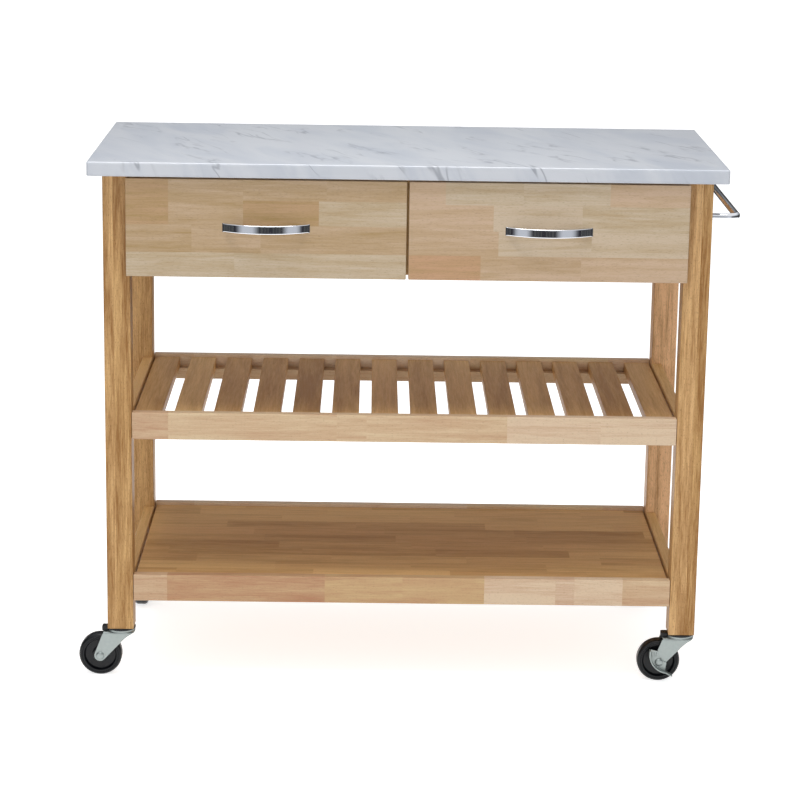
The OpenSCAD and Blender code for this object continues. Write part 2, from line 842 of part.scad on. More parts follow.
worktop();
leg_front_left();
leg_front_right();
leg_back_left();
leg_back_right();
side_apron_left();
side_apron_right();
back_apron();
top_front_rail();
top_cleats();
drawer_divider();
drawer_runners();
middle_front_rail();
middle_back_rail();
middle_side_rails();
middle_slats();
lower_front_rail();
lower_back_rail();
lower_side_rails();
lower_shelf_panel();
shelf_cleats();
towel_bar();
towel_bar_screws();
frame_bolts();
barrel_nuts();
dowels();
worktop_screws();
caster_stems();
swivel_balls();
drawer_left_front();
drawer_left_sides();
drawer_left_ends();
drawer_left_bottom();
drawer_left_handle();
drawer_left_handle_screws();
drawer_right_front();
drawer_right_sides();
drawer_right_ends();
drawer_right_bottom();
drawer_right_handle();
drawer_right_handle_screws();
fork_front_left();
fork_front_right();
fork_back_left();
fork_back_right();
fork_cover_front_left();
fork_cover_front_right();
fork_cover_back_left();
fork_cover_back_right();
axle_front_left();
axle_front_right();
axle_back_left();
axle_back_right();
wheel_front_left();
wheel_front_right();
wheel_back_left();
wheel_back_right();
brake_front_right();
brake_back_left();
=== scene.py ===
"""A kitchen cart: a marble-look worktop, two drawers, a slatted shelf, a solid shelf, a towel bar
and four swivel casters. Lengths are metres, +Z is up and the drawers open towards -Y."""

import json

import bmesh
import bpy
import numpy as np
from mathutils import Matrix, Vector

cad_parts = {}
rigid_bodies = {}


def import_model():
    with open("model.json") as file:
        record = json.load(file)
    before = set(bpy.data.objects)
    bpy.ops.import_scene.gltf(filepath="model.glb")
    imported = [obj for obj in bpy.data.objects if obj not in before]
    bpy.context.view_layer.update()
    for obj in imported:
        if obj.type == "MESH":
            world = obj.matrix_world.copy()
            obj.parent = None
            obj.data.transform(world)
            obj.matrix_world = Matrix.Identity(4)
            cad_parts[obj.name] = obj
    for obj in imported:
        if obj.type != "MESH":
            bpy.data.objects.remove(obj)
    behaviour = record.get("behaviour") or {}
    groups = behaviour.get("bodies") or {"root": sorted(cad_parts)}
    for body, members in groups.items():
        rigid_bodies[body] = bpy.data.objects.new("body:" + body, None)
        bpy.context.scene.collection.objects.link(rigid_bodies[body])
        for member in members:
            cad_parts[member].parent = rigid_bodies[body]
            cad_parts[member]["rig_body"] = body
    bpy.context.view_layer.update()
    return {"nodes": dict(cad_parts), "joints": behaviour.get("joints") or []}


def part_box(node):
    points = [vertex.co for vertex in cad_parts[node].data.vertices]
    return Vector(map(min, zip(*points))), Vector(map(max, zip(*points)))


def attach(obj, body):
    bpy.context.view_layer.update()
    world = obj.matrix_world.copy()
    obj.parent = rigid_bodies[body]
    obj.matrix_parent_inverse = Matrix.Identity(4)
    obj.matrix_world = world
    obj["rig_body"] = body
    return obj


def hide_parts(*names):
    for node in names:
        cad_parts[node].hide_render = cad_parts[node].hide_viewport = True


bl_info = {
    "name": "Kitchen Cart",
    "version": (1, 0, 0),
    "blender": (4, 5, 0),
    "location": "View3D > Sidebar > Cart",
    "description": "Builds the boards, handles, towel bar, casters and studio of a kitchen cart",
    "category": "Object",
}

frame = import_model()
MM = 0.001

SIDES = ("left", "right")
CORNERS = ("front_left", "front_right", "back_left", "back_right")
BRAKED = ("front_right", "back_left")
JOINTS = {joint["name"]: joint for joint in frame["joints"]}

# What the lamps aim at
CART_MIDDLE = Vector((0, 0, 0.5))

# The pressed fork, from the swivel axis: the cheeks lean back to the axle
CHEEK_OUT = 17.0 * MM
FORK_T = 2.5 * MM
PLATE_TOP = 80.5 * MM
CUP_TOP = 84.5 * MM
COVER_TOP = 88.2 * MM
CUP_R = 23.0 * MM
CUP_BORE_R = 20.5 * MM
COVER_R = 24.5 * MM
COVER_BORE_R = 19.5 * MM
BEND_R = 3.5 * MM
AXLE_BOSS_R = 10.0 * MM
BACK_TOP = (-31.0 * MM, 80.5 * MM)
BACK_TANGENT = np.radians(165)
FRONT_TANGENT = np.radians(313)
NECK_CENTRE = (46.4 * MM, 24.2 * MM)
NECK_R = 60.0 * MM
NECK_LOW = np.radians(137)

# The foot brake: a crescent whose arcs share a centre that is given from the axle. Its angles are
# in degrees, from straight ahead
BRAKE_CENTRE = (16.0 * MM, 16.5 * MM)
BRAKE_OUT_R = 34.0 * MM
BRAKE_IN_R = 17.0 * MM
BRAKE_FROM = 168
BRAKE_TO = 262
BRAKE_T = 2.0 * MM
BRAKE_GAP = 0.1 * MM
TREAD_W = 13.0 * MM
LIP_L = 13.0 * MM
LIP_TURN = 20
RIDGE_RADII = (20.7 * MM, 24.7 * MM, 28.7 * MM)
RIDGE_FROM = 176
RIDGE_TO = 196
RIDGE_R = 0.9 * MM
RIDGE_H = 1.0 * MM

# The axle bolt: its domed head as (radius, height over the cheek) in millimetres, and its nut
BOLT_HEAD = ((0, 3.0), (3.5, 3.0), (5.8, 2.3), (6.8, 1.2), (7.0, 0), (4.0, 0))
BOLT_R = 4.0 * MM
BOLT_CHAMFER = 0.6 * MM
BOLT_OUT = 5.0 * MM
NUT_R = 7.5 * MM
NUT_T = 4.0 * MM

# Radii of a wheel, and half its width at the hub, the web and the rim
WHEEL_BORE_R = 4.06 * MM
HUB_R = 13.0 * MM
RIM_R = 28.5 * MM
WHEEL_R = 37.5 * MM
HUB_HALF = 14.2 * MM
WEB_HALF = 5.5 * MM
RIM_HALF = 12.0 * MM

# Two opposite corners of the block at the tail of a fork's cover
COVER_BLOCK = ((-34.0 * MM, -9.0 * MM, PLATE_TOP), (-21.5 * MM, 9.0 * MM, COVER_TOP))

# The studio walls that the chrome mirrors: their colours, their radius and their height
DARK_WALLS = ((0.03, 0.028, 0.036), (0.11, 0.115, 0.11))
PALE_WALL = (0.62, 0.64, 0.68)
WALL_R = 2.3
WALL_HEIGHTS = (0.01, 2.0)

# Length and width of the streaks in the wood
BAND = (260 * MM, 17 * MM)
FIBRE = (45 * MM, 2.4 * MM)
FLECK = (14 * MM, 1.1 * MM)
PORE = (5 * MM, 0.6 * MM)

# Screen colour and width of the glue lines between staves
GLUE = (128, 96, 64)
GLUE_W = 0.5 * MM

# Kinds of stave as (tone, warmth): tone runs from pale to brown
STAVE_KINDS = {
    "pale": (0.08, 0.15),
    "straw": (0.27, 0.08),
    "honey": (0.22, 0.5),
    "tan": (0.5, 0.45),
    "brown": (0.68, 0.9),
    "rosy": (0.38, 1.1),
}

# Cut lists of the four boards that face the viewer. Each row is its height in millimetres, from
# the top, and its staves from left to right as (right end in millimetres, kind)
LEFT_FRONT_STAVES = (
    (35, ((70, "brown"), (195, "tan"), (335, "tan"), (470, "tan"))),
    (42, ((70, "brown"), (195, "tan"), (322, "brown"), (470, "straw"))),
    (47, ((110, "tan"), (225, "tan"), (470, "tan"))),
    (42, ((180, "straw"), (470, "straw"))),
)
RIGHT_FRONT_STAVES = (
    (38, ((60, "honey"), (190, "straw"), (335, "straw"), (470, "honey"))),
    (44, ((140, "honey"), (290, "pale"), (470, "straw"))),
    (42, ((150, "honey"), (305, "pale"), (470, "pale"))),
    (42, ((120, "rosy"), (290, "honey"), (470, "honey"))),
)
MIDDLE_RAIL_STAVES = (
    (47, ((62, "tan"), (348, "honey"), (398, "honey"), (640, "honey"), (800, "pale"),
          (934, "pale"))),
)
LOWER_RAIL_STAVES = (
    (47, ((57, "tan"), (330, "brown"), (466, "rosy"), (606, "rosy"), (730, "pale"),
          (764, "straw"), (849, "pale"), (934, "honey"))),
)

# Tone and warmth of each leg. Each leg has a tone of its own; the back legs are also made paler, and
# the back right one warmer, as painted light that makes up for the shade inside the cart
LEG_TONES_WITH_PAINTED_LIGHT = {
    "front_left": (0.58, 0.0),
    "front_right": (0.55, 0.15),
    "back_left": (0.15, 0.0),
    "back_right": (0.0, 1.0),
}


def srgb(red, green, blue):
    """A colour in linear light from its 0 to 255 screen values."""
    shares = np.array([red, green, blue]) / 255
    linear = np.where(shares <= 0.04045, shares / 12.92, ((shares + 0.055) / 1.055) ** 2.4)
    return tuple(float(value) for value in linear)


def colour_property(name, description, screen):
    """A colour that a user can change, given as it looks on screen."""
    return bpy.props.FloatVectorProperty(
        name=name, description=description, subtype="COLOR", size=3, min=0, max=1,
        default=srgb(*screen))


def length_property(name, description, default):
    """A length that a user can change."""
    return bpy.props.FloatProperty(
        name=name, description=description, unit="LENGTH", min=0, default=default)


def angle_property(name, description, degrees):
    """An angle that a user can change."""
    return bpy.props.FloatProperty(
        name=name, description=description, subtype="ANGLE", default=float(np.radians(degrees)))


def number_property(name, description, default):
    """A plain number that a user can change."""
    return bpy.props.FloatProperty(name=name, description=description, default=default)


class CartWood(bpy.types.PropertyGroup):
    """Colours and edges of the wooden parts"""

    edge: length_property("Edge", "Radius of the boards' eased edges", 1.2 * MM)
    drawer_pale: colour_property(
        "Drawers pale", "Palest staves of the drawer fronts", (195, 179, 155))
    drawer_brown: colour_property(
        "Drawers brown", "Brownest staves of the drawer fronts", (162, 133, 85))
    drawer_warm: colour_property(
        "Drawers warm", "Warmest staves of the drawer fronts", (196, 150, 117))
    rail_pale: colour_property("Rails pale", "Palest staves of the shelves' rails", (216, 192, 165))
    rail_brown: colour_property(
        "Rails brown", "Brownest staves of the shelves' rails", (175, 125, 92))
    rail_warm: colour_property(
        "Rails warm", "Warmest staves of the shelves' rails", (205, 178, 126))
    leg_pale: colour_property("Legs pale", "Pale streaks of the legs", (212, 170, 112))
    leg_brown: colour_property("Legs brown", "Brown streaks of the legs", (146, 100, 46))
    leg_warm: colour_property("Legs warm", "Warmest streaks of the legs", (234, 188, 142))
    shelf_pale: colour_property("Shelves pale", "Palest staves of the shelves", (220, 178, 118))
    shelf_brown: colour_property("Shelves brown", "Brownest staves of the shelves", (172, 126, 70))
    shelf_warm: colour_property("Shelves warm", "Warmest staves of the shelves", (204, 152, 100))


class CartWorktop(bpy.types.PropertyGroup):
    """Edges and colours of the marble-look worktop"""

    corner: length_property("Corner", "Radius of the upright corners", 3 * MM)
    edge: length_property("Edge", "Radius of the upper and lower edges", 1.6 * MM)
    ground: colour_property("Ground", "Ground colour of the laminate", (200, 203, 209))
    cloud: colour_property("Cloud", "Colour of the soft clouds", (180, 186, 197))
    vein: colour_property("Vein", "Colour of the veins", (120, 124, 134))
    turn: angle_property("Turn", "Angle of the veins in plan", 64)


class CartMetal(bpy.types.PropertyGroup):
    """Colours and edges of the metal parts"""

    chrome: colour_property("Chrome", "Colour of the handles and the towel bar", (226, 228, 233))
    zinc: colour_property("Zinc", "Colour of the forks, axles and brakes", (162, 170, 168))
    steel: colour_property("Steel", "Colour of the screws and bolts", (176, 176, 178))
    handle_edge: length_property("Handle edge", "Radius of a handle's edges", 1.8 * MM)
    handle_tip: length_property("Handle tip", "Thickness of a handle at its ends", 0.8 * MM)
    strap: length_property("Strap", "Thickness of a handle's strap", 4 * MM)
    foot: length_property("Foot", "Width of a handle's foot", 18 * MM)
    bar: length_property("Bar", "Diameter of the towel bar", 12 * MM)
    bend: length_property("Bend", "Radius of the towel bar's bends", 18 * MM)


class CartCasters(bpy.types.PropertyGroup):
    """Colours of the casters' plastic parts"""

    wheel: colour_property("Wheel", "Colour of the wheels", (13, 15, 18))
    cover: colour_property("Cover", "Colour of the rings over the forks", (22, 23, 25))


class CartStage(bpy.types.PropertyGroup):
    """Camera, lamps and floor"""

    lens: number_property("Lens", "Focal length in millimetres", 115.29)
    camera: bpy.props.FloatVectorProperty(
        name="Camera", description="Place of the camera", subtype="TRANSLATION",
        default=(-0.05885, -4.4633, 1.54685))
    pitch: angle_property("Pitch", "How far the camera looks down", 13.77)
    yaw: angle_property("Yaw", "How far the camera turns right", 0.68)
    roll: angle_property("Roll", "How far the camera leans", 0.88)
    key: number_property("Key", "Power of the left-hand softbox in watts", 17)
    fill: number_property("Fill", "Power of the right-hand softbox in watts", 11)
    overhead: number_property("Overhead", "Power of the upper softbox in watts", 46)
    ambient: number_property("Ambient", "Strength of the light from all round", 0.58)
    floor: length_property("Floor", "Radius of the floor", 40)


# Surfaces

def grid(points, close=False):
    """Rows of points as a surface: each four neighbours make a face, and with close the last
    column joins the first."""
    rows, columns = points.shape[:2]
    index = np.arange(rows * columns).reshape(rows, columns)
    if close:
        index = np.hstack([index, index[:, :1]])
    faces = np.stack([index[:-1, :-1], index[:-1, 1:], index[1:, 1:], index[1:, :-1]], axis=-1)
    return points.reshape(-1, 3), faces.reshape(-1, 4).tolist()


def closed(rings):
    """Rings of points as a solid: a grid whose first and last rings are filled flat."""
    points, faces = grid(rings, close=True)
    rows, columns = rings.shape[:2]
    first = list(range(columns))
    last = list(range((rows - 1) * columns, rows * columns))
    return points, faces + [first, last]


def looped(rings):
    """Rings of points as an endless tube: the last ring joins the first."""
    return grid(np.concatenate([rings, rings[:1]]), close=True)


def edge_profile(thick, edge, reach=2.5):
    """Insets and heights of a slab's rings from its lower face to its upper one: a ring flat on
    the face, a quarter circle of the edge's radius, a ring on the side, and the same in reverse.
    The reach is how far in the flat rings lie, in edge radii."""
    turns = np.radians(np.linspace(0, 90, 5))
    insets = np.concatenate([[reach * edge], edge * (1 - np.sin(turns)), [0]])
    heights = np.concatenate([[0], edge * (1 - np.cos(turns)), [reach * edge]])
    return np.concatenate([insets, insets[::-1]]), np.concatenate([heights, thick - heights[::-1]])


def rectangle_rings(half, corner, insets, straight):
    """A ring for each inset of a rectangle with round corners. A corner is a quarter circle about
    a centre that stays put until the inset uses the radius up, with one point of straight side
    at each end of it, and the other three corners are its mirror images."""
    turns = np.radians(np.linspace(0, 90, 5))
    arc = np.stack([np.cos(turns), np.sin(turns)], axis=-1)
    radius = np.maximum(corner - insets, 0)[:, None, None]
    centre = half - np.maximum(corner, insets)[:, None, None]
    quarter = centre + radius * arc
    before = quarter[:, :1] - [0, straight]
    after = quarter[:, -1:] - [straight, 0]
    quarter = np.concatenate([before, quarter, after], axis=1)
    back = quarter[:, ::-1]
    return np.concatenate([quarter, back * [-1, 1], -quarter, back * [1, -1]], axis=1)


def slab(low, high, edge, corner=None):
    """A board between two corners: rectangle rings carried up through the edge profile."""
    low, high = np.array(low), np.array(high)
    insets, heights = edge_profile(high[2] - low[2], edge)
    rings = rectangle_rings((high - low)[:2] / 2, corner or edge, insets, 2 * edge)
    points = np.empty(rings.shape[:2] + (3,))
    points[..., :2] = rings + (low + high)[:2] / 2
    points[..., 2] = (low[2] + heights)[:, None]
    return closed(points)


def eased(corners, cut, steps=4):
    """A closed outline whose corners are parabolas: each starts a cut's length before its corner
    and ends as far after it. Points that fall together are left out."""
    corners = np.array(corners, float)
    cut = np.broadcast_to(np.asarray(cut, float), len(corners))[:, None]
    to_last = np.roll(corners, 1, axis=0) - corners
    to_next = np.roll(corners, -1, axis=0) - corners
    start = corners + cut * to_last / np.linalg.norm(to_last, axis=1, keepdims=True)
    end = corners + cut * to_next / np.linalg.norm(to_next, axis=1, keepdims=True)
    share = np.linspace(0, 1, steps + 1)[None, :, None]
    curve = (start[:, None] * (1 - share) ** 2 + 2 * corners[:, None] * share * (1 - share)
             + end[:, None] * share ** 2).reshape(-1, 2)
    apart = np.linalg.norm(curve - np.roll(curve, 1, axis=0), axis=1) > 1e-6
    return curve[apart]


def plate(outline, thick, edge):
    """A flat plate: its outline, moved in along its own normals, carried up through the edge
    profile. Its flat rings lie close to the edge, so that they don't cross in a sharp corner.
    Rings hold (along, across, height)."""
    along = np.roll(outline, -1, axis=0) - outline
    along /= np.linalg.norm(along, axis=1, keepdims=True)
    bend = along + np.roll(along, 1, axis=0)
    bend /= np.sum(bend * along, axis=1, keepdims=True)
    turn = np.sign(np.sum(np.cross(outline, np.roll(outline, -1, axis=0))))
    inward = turn * np.stack([-bend[:, 1], bend[:, 0]], axis=-1)
    insets, heights = edge_profile(thick, edge, reach=1.1)
    rings = np.empty((len(insets), len(outline), 3))
    rings[..., :2] = outline + inward * insets[:, None, None]
    rings[..., 2] = heights[:, None]
    return rings


def turned(profile, segments=72):
    """A profile of (radius, distance along the axis) turned about the axis. Rings hold two
    coordinates round the axis and the distance along it."""
    profile = np.array(profile, float)
    angles = np.linspace(0, 2 * np.pi, segments, endpoint=False)
    rings = np.empty((len(profile), segments, 3))
    rings[..., 0] = profile[:, :1] * np.cos(angles)
    rings[..., 1] = profile[:, :1] * np.sin(angles)
    rings[..., 2] = profile[:, 1:]
    return rings


def carried(path, across, up, section):
    """A section carried along a path: each point is path + a * across + b * up."""
    return (path[:, None] + section[None, :, :1] * across[:, None]
            + section[None, :, 1:] * np.array(up))


def lying(rings, place, way=1):
    """Rings whose height runs along Y, backwards or, with way -1, forwards, at a place."""
    return np.stack([rings[..., 0], way * rings[..., 2], rings[..., 1]], axis=-1) + place


def solid_boxes(node):
    """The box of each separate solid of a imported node, from left to right. Triangles that share
    a corner take the lowest label among their corners until no label changes."""
    mesh = frame["nodes"][node].data
    points = np.empty(len(mesh.vertices) * 3)
    mesh.vertices.foreach_get("co", points)
    points = points.reshape(-1, 3)
    corners = np.empty(len(mesh.loops), np.int32)
    mesh.loops.foreach_get("vertex_index", corners)
    spots, spot = np.unique(np.round(points, 6), axis=0, return_inverse=True)
    triangles = spot.ravel()[corners].reshape(-1, 3)
    label = np.arange(len(spots))
    while True:
        lowest = label.copy()
        np.minimum.at(lowest, triangles, lowest[triangles].min(axis=1, keepdims=True))
        if np.array_equal(lowest, label):
            break
        label = lowest
    solids = [spots[label == one] for one in np.unique(label)]
    boxes = [(solid.min(axis=0), solid.max(axis=0)) for solid in solids]
    return sorted(boxes, key=lambda low_high: tuple(low_high[0]))


def shown(name, mesh, material, nodes):
    """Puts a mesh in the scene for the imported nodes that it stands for, on their body."""
    mesh.materials.clear()
    mesh.materials.append(material)
    piece = bpy.data.objects.new(name, mesh)
    bpy.context.scene.collection.objects.link(piece)
    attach(piece, frame["nodes"][nodes[0]]["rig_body"])
    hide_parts(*nodes)
    return piece


def build(name, surfaces, material, slot, *nodes, sharp=38):
    """One piece from several surfaces: points that fall together are merged, faces are turned
    outwards, and it is smooth apart from edges sharper than an angle in degrees."""
    starts = np.cumsum([0] + [len(points) for points, _ in surfaces])
    faces = []
    for start, (_, part) in zip(starts, surfaces):
        faces += [[int(start) + corner for corner in face] for face in part]
    mesh = bpy.data.meshes.new(name)
    mesh.from_pydata(np.concatenate([points for points, _ in surfaces]), [], faces)
    shape = bmesh.new()
    shape.from_mesh(mesh)
    bmesh.ops.remove_doubles(shape, verts=shape.verts, dist=1e-6)
    bmesh.ops.recalc_face_normals(shape, faces=shape.faces)
    shape.to_mesh(mesh)
    shape.free()
    mesh.shade_smooth()
    mesh.set_sharp_from_angle(angle=np.radians(sharp))
    return shown(name, mesh, material, nodes)


def bevelled(piece, width, angle):
    """Eases a piece's edges that are sharper than an angle in degrees."""
    bevel = piece.modifiers.new("Eased edges", "BEVEL")
    bevel.width = width
    bevel.segments = 2
    bevel.limit_method = "ANGLE"
    bevel.angle_limit = np.radians(angle)


def boards(node, material, slot, edge):
    """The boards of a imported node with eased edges."""
    slabs = [slab(low, high, edge) for low, high in solid_boxes(node)]
    build(node + "_boards", slabs, material, slot, node)


def softened(node, material, width):
    """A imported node's own shape, with its bores and grooves, merged and with its edges eased."""
    mesh = frame["nodes"][node].data.copy()
    mesh.name = node + "_eased"
    shape = bmesh.new()
    shape.from_mesh(mesh)
    bmesh.ops.remove_doubles(shape, verts=shape.verts, dist=1e-6)
    bmesh.ops.dissolve_limit(
        shape, angle_limit=np.radians(0.5), verts=shape.verts, edges=shape.edges)
    shape.to_mesh(mesh)
    shape.free()
    mesh.shade_flat()
    bevelled(shown(node + "_eased", mesh, material, [node]), width, 40)


def dress(material, *nodes):
    """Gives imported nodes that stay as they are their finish."""
    for node in nodes:
        mesh = frame["nodes"][node].data
        mesh.materials.clear()
        mesh.materials.append(material)


# Finishes

class Value:
    """An output of a node. Sums of values and numbers add Math nodes to its material."""

    def __init__(self, finish, socket):
        self.finish = finish
        self.socket = socket

    def math(self, operation, *others):
        """The result of a Math node on this value and others."""
        inputs = dict(enumerate((self, *others)))
        return self.finish.node("Math", inputs, operation=operation)

    def __add__(self, other):
        return self.math("ADD", other)

    def __sub__(self, other):
        return self.math("SUBTRACT", other)

    def __mul__(self, other):
        return self.math("MULTIPLY", other)

    def __truediv__(self, other):
        return self.math("DIVIDE", other)

    def floor(self):
        return self.math("FLOOR")

    def above(self, limit):
        """1 above a limit and 0 up to it."""
        return self.math("GREATER_THAN", limit)

    def between(self, low, high):
        """0 up to low, 1 from high on, and a smooth step between them."""
        inputs = {"Value": self, "From Min": low, "From Max": high}
        return self.finish.node("MapRange", inputs, interpolation_type="SMOOTHSTEP")

    def near_line(self, pitch, width):
        """1 on lines a pitch apart, and 0 further from them than a width."""
        off_middle = ((self / pitch).math("FRACT") - 0.5).math("ABSOLUTE")
        return off_middle.between(0.5 - width / pitch, 0.5)

    def parts(self):
        """The three parts of a vector or colour."""
        split = self.finish.raw_node("SeparateXYZ", {0: self})
        return [Value(self.finish, socket) for socket in split.outputs]


class Finish:
    """A material with its Principled shader, and a short call for each kind of node."""

    def __init__(self, name, **sockets):
        self.material = bpy.data.materials.new(name)
        self.material.use_nodes = True
        self.tree = self.material.node_tree
        self.shader = self.tree.nodes["Principled BSDF"]
        for socket, value in sockets.items():
            self.set(socket.replace("_", " "), value)

    def feed(self, socket, value):
        """Links a value to a socket, or sets a number or a colour on it."""
        if isinstance(value, Value):
            self.tree.links.new(value.socket, socket)
        elif isinstance(value, (tuple, list, np.ndarray)) and len(socket.default_value) == 4:
            socket.default_value = (*value, 1)
        else:
            socket.default_value = value

    def set(self, name, value):
        """Feeds one of the shader's sockets."""
        self.feed(self.shader.inputs[name], value)

    def raw_node(self, kind, inputs, **settings):
        """A new node with its settings and inputs."""
        made = self.tree.nodes.new("ShaderNode" + kind)
        for name, value in settings.items():
            setattr(made, name, value)
        for key, value in inputs.items():
            self.feed(made.inputs[key], value)
        return made

    def node(self, kind, inputs, output=0, **settings):
        """One output of a new node."""
        return Value(self, self.raw_node(kind, inputs, **settings).outputs[output])

    def place(self):
        """The point's three coordinates on the piece."""
        return self.node("TexCoord", {}, output="Object").parts()

    def vector(self, x, y, z=0.0):
        """A vector from its three parts."""
        return self.node("CombineXYZ", {0: x, 1: y, 2: z})

    def noise(self, vector, detail=2.0, roughness=0.5, distortion=0.0):
        """Fractal noise whose spots are about one unit of the vector wide."""
        inputs = {
            "Vector": vector, "Scale": 1.0, "Detail": detail, "Roughness": roughness,
            "Distortion": distortion}
        return self.node("TexNoise", inputs)

    def mottle(self, size, detail):
        """Noise whose spots have one size in all directions."""
        x, y, z = self.place()
        return self.noise(self.vector(x / size, y / size, z / size), detail)

    def random(self, x, y=0.0, z=0.0):
        """Three random numbers that stay the same as long as x, y and z do."""
        return self.node("TexWhiteNoise", {"Vector": self.vector(x, y, z)}, output="Color").parts()

    def mix(self, share, first, second):
        """A colour between two others, with a share of the second."""
        inputs = {"Factor": share, 6: first, 7: second}
        return self.node("Mix", inputs, output=2, data_type="RGBA")

    def ramp(self, value, stops, kind="LINEAR"):
        """A colour for each value, from (position, colour) stops."""
        made = self.raw_node("ValToRGB", {"Fac": value})
        made.color_ramp.interpolation = kind
        elements = made.color_ramp.elements
        while len(elements) < len(stops):
            elements.new(0.5)
        for element, (position, colour) in zip(elements, stops):
            element.position = position
            element.color = (*colour, 1)
        return Value(self, made.outputs["Color"])

    def bump(self, height, distance, strength=0.5):
        """Makes the surface rise by a distance where the height is 1."""
        inputs = {"Strength": strength, "Distance": distance, "Height": height}
        self.set("Normal", self.node("Bump", inputs))


def shade(colour, factor):
    """A colour made darker or paler by a factor."""
    return tuple(factor * np.array(colour))


def cut_list(finish, right, down, rows):
    """Tone, warmth and a number of its own for each stave on a board's cut list. Each row is a
    stepped ramp along the board, and a row takes over where the point is below its top."""
    width = rows[0][1][-1][0]
    top = 0
    found = None
    for number, (height, staves) in enumerate(rows):
        starts = [0] + [end / width for end, _ in staves[:-1]]
        stops = [
            (start, (*STAVE_KINDS[kind], number / 8 + start / 9))
            for start, (_, kind) in zip(starts, staves)]
        row = finish.ramp(right / (width * MM), stops, "CONSTANT")
        found = row if found is None else finish.mix(down.above(top * MM), found, row)
        top += height
    return found.parts()


def random_staves(finish, along, across, row, length):
    """Tone, warmth and a third random number for the stave that a point lies in. Rows have
    one width, and each is cut to equal lengths from a start of its own."""
    line = (across / row).floor()
    start = finish.random(line, 7.0)[0]
    return finish.random(line, (along / length + start).floor(), 3.0)


def wood_surface(
        finish, along, across, depth, tone, warm, shift, colours, broad=1.0, fine=1.0):
    """Wood along a direction of growth. Broad bands, fibres and short pores are noise that is
    long that way and narrow across it, and each stave's shift moves them so that they break at
    its ends. Bands and fibres darken the stave's tone, and the pores are dark dashes."""
    pale, brown, warmest = colours

    def streaks(length, width, detail, distortion=0.0):
        where = finish.vector(
            along / length + shift * 37.0, across / width + shift * 19.0, depth / width)
        return finish.noise(where, detail, 0.55, distortion) - 0.5

    bands = streaks(*BAND, 3.0, 0.7)
    fibres = streaks(*FIBRE, 2.0)
    flecks = streaks(*FLECK, 1.0)
    pores = streaks(*PORE, 0.0).between(0.16, 0.24)
    level = tone + bands * (1.5 * broad) + (fibres * 0.8 + flecks * 0.4) * fine
    plain = finish.mix(level, pale, brown)
    warmer = finish.mix(warm * 0.8, plain, finish.mix(level, warmest, brown))
    finish.set("Base Color", finish.mix(pores * (0.35 * fine), warmer, shade(brown, 0.45)))
    finish.set("Specular IOR Level", 0.35)
    finish.set("Roughness", fibres * 0.25 + 0.44)
    finish.bump(fibres * 0.6 + bands * 0.3 - pores * 0.5, 0.15 * MM, 0.45)


def grain_axes(finish, growth):
    """The point's coordinates along and across a direction of growth, X, Y or Z."""
    x, y, z = finish.place()
    return {"X": (x, y, z), "Y": (y, x, z), "Z": (z, x, y)}[growth]


def palette(kind):
    """The three colours of the drawers', rails', legs' or shelves' wood."""
    wood = bpy.context.scene.cart_wood
    return [tuple(getattr(wood, kind + "_" + end)) for end in ("pale", "brown", "warm")]


def plain_wood(name, growth, kind, tone=0.4, warm=0.3, strip=45 * MM, broad=1.0, fine=1.0):
    """Solid wood in a few broad strips, each a little darker or paler than the next."""
    finish = Finish(name)
    along, across, depth = grain_axes(finish, growth)
    first, second, shift = finish.random((across / strip).floor(), (depth / strip).floor())
    tone = (first - 0.5) * 0.35 + tone
    warm = (second - 0.5) * 0.5 + warm
    wood_surface(finish, along, across, depth, tone, warm, shift, palette(kind), broad, fine)
    return finish.material


def stave_wood(
        name, growth, rows, kind, origin, row, length, spread=0.8, tone=0.35, warm=0.8, joints=0.35):
    """Wood glued up from staves of random tone, side by side along the axis called rows."""
    finish = Finish(name)
    x, y, z = finish.place()
    axes = {"X": x - origin[0], "Y": y - origin[1], "Z": z - origin[2]}
    along, across = axes[growth], axes[rows]
    depth = next(value for axis, value in axes.items() if axis not in (growth, rows))
    first, second, shift = random_staves(finish, along, across, row, length)
    tone = (first - 0.5) * spread + tone
    wood_surface(finish, along, across, depth, tone, second * warm, shift, palette(kind))
    glue_lines(finish, across.near_line(row, GLUE_W), joints)
    return finish.material


def glue_lines(finish, line, strength):
    """Mixes the glue's colour into the wood's where the line is 1."""
    base = finish.shader.inputs["Base Color"]
    colour = Value(finish, base.links[0].from_socket)
    finish.set("Base Color", finish.mix(line * strength, colour, srgb(*GLUE)))


def fitted_wood(name, low, high, rows, kind):
    """Wood of a board that faces the viewer, with its own cut list. Staves of one kind differ a
    little in tone."""
    finish = Finish(name)
    x, y, z = finish.place()
    right = x - float(low[0])
    tone, warm, number = cut_list(finish, right, (z * -1.0) + float(high[2]), rows)
    shift, drift, _ = finish.random(number * 50.0)
    tone = (drift - 0.5) * 0.12 + tone
    wood_surface(finish, x, z, y, tone, warm, shift, palette(kind), broad=0.9, fine=0.85)
    return finish.material


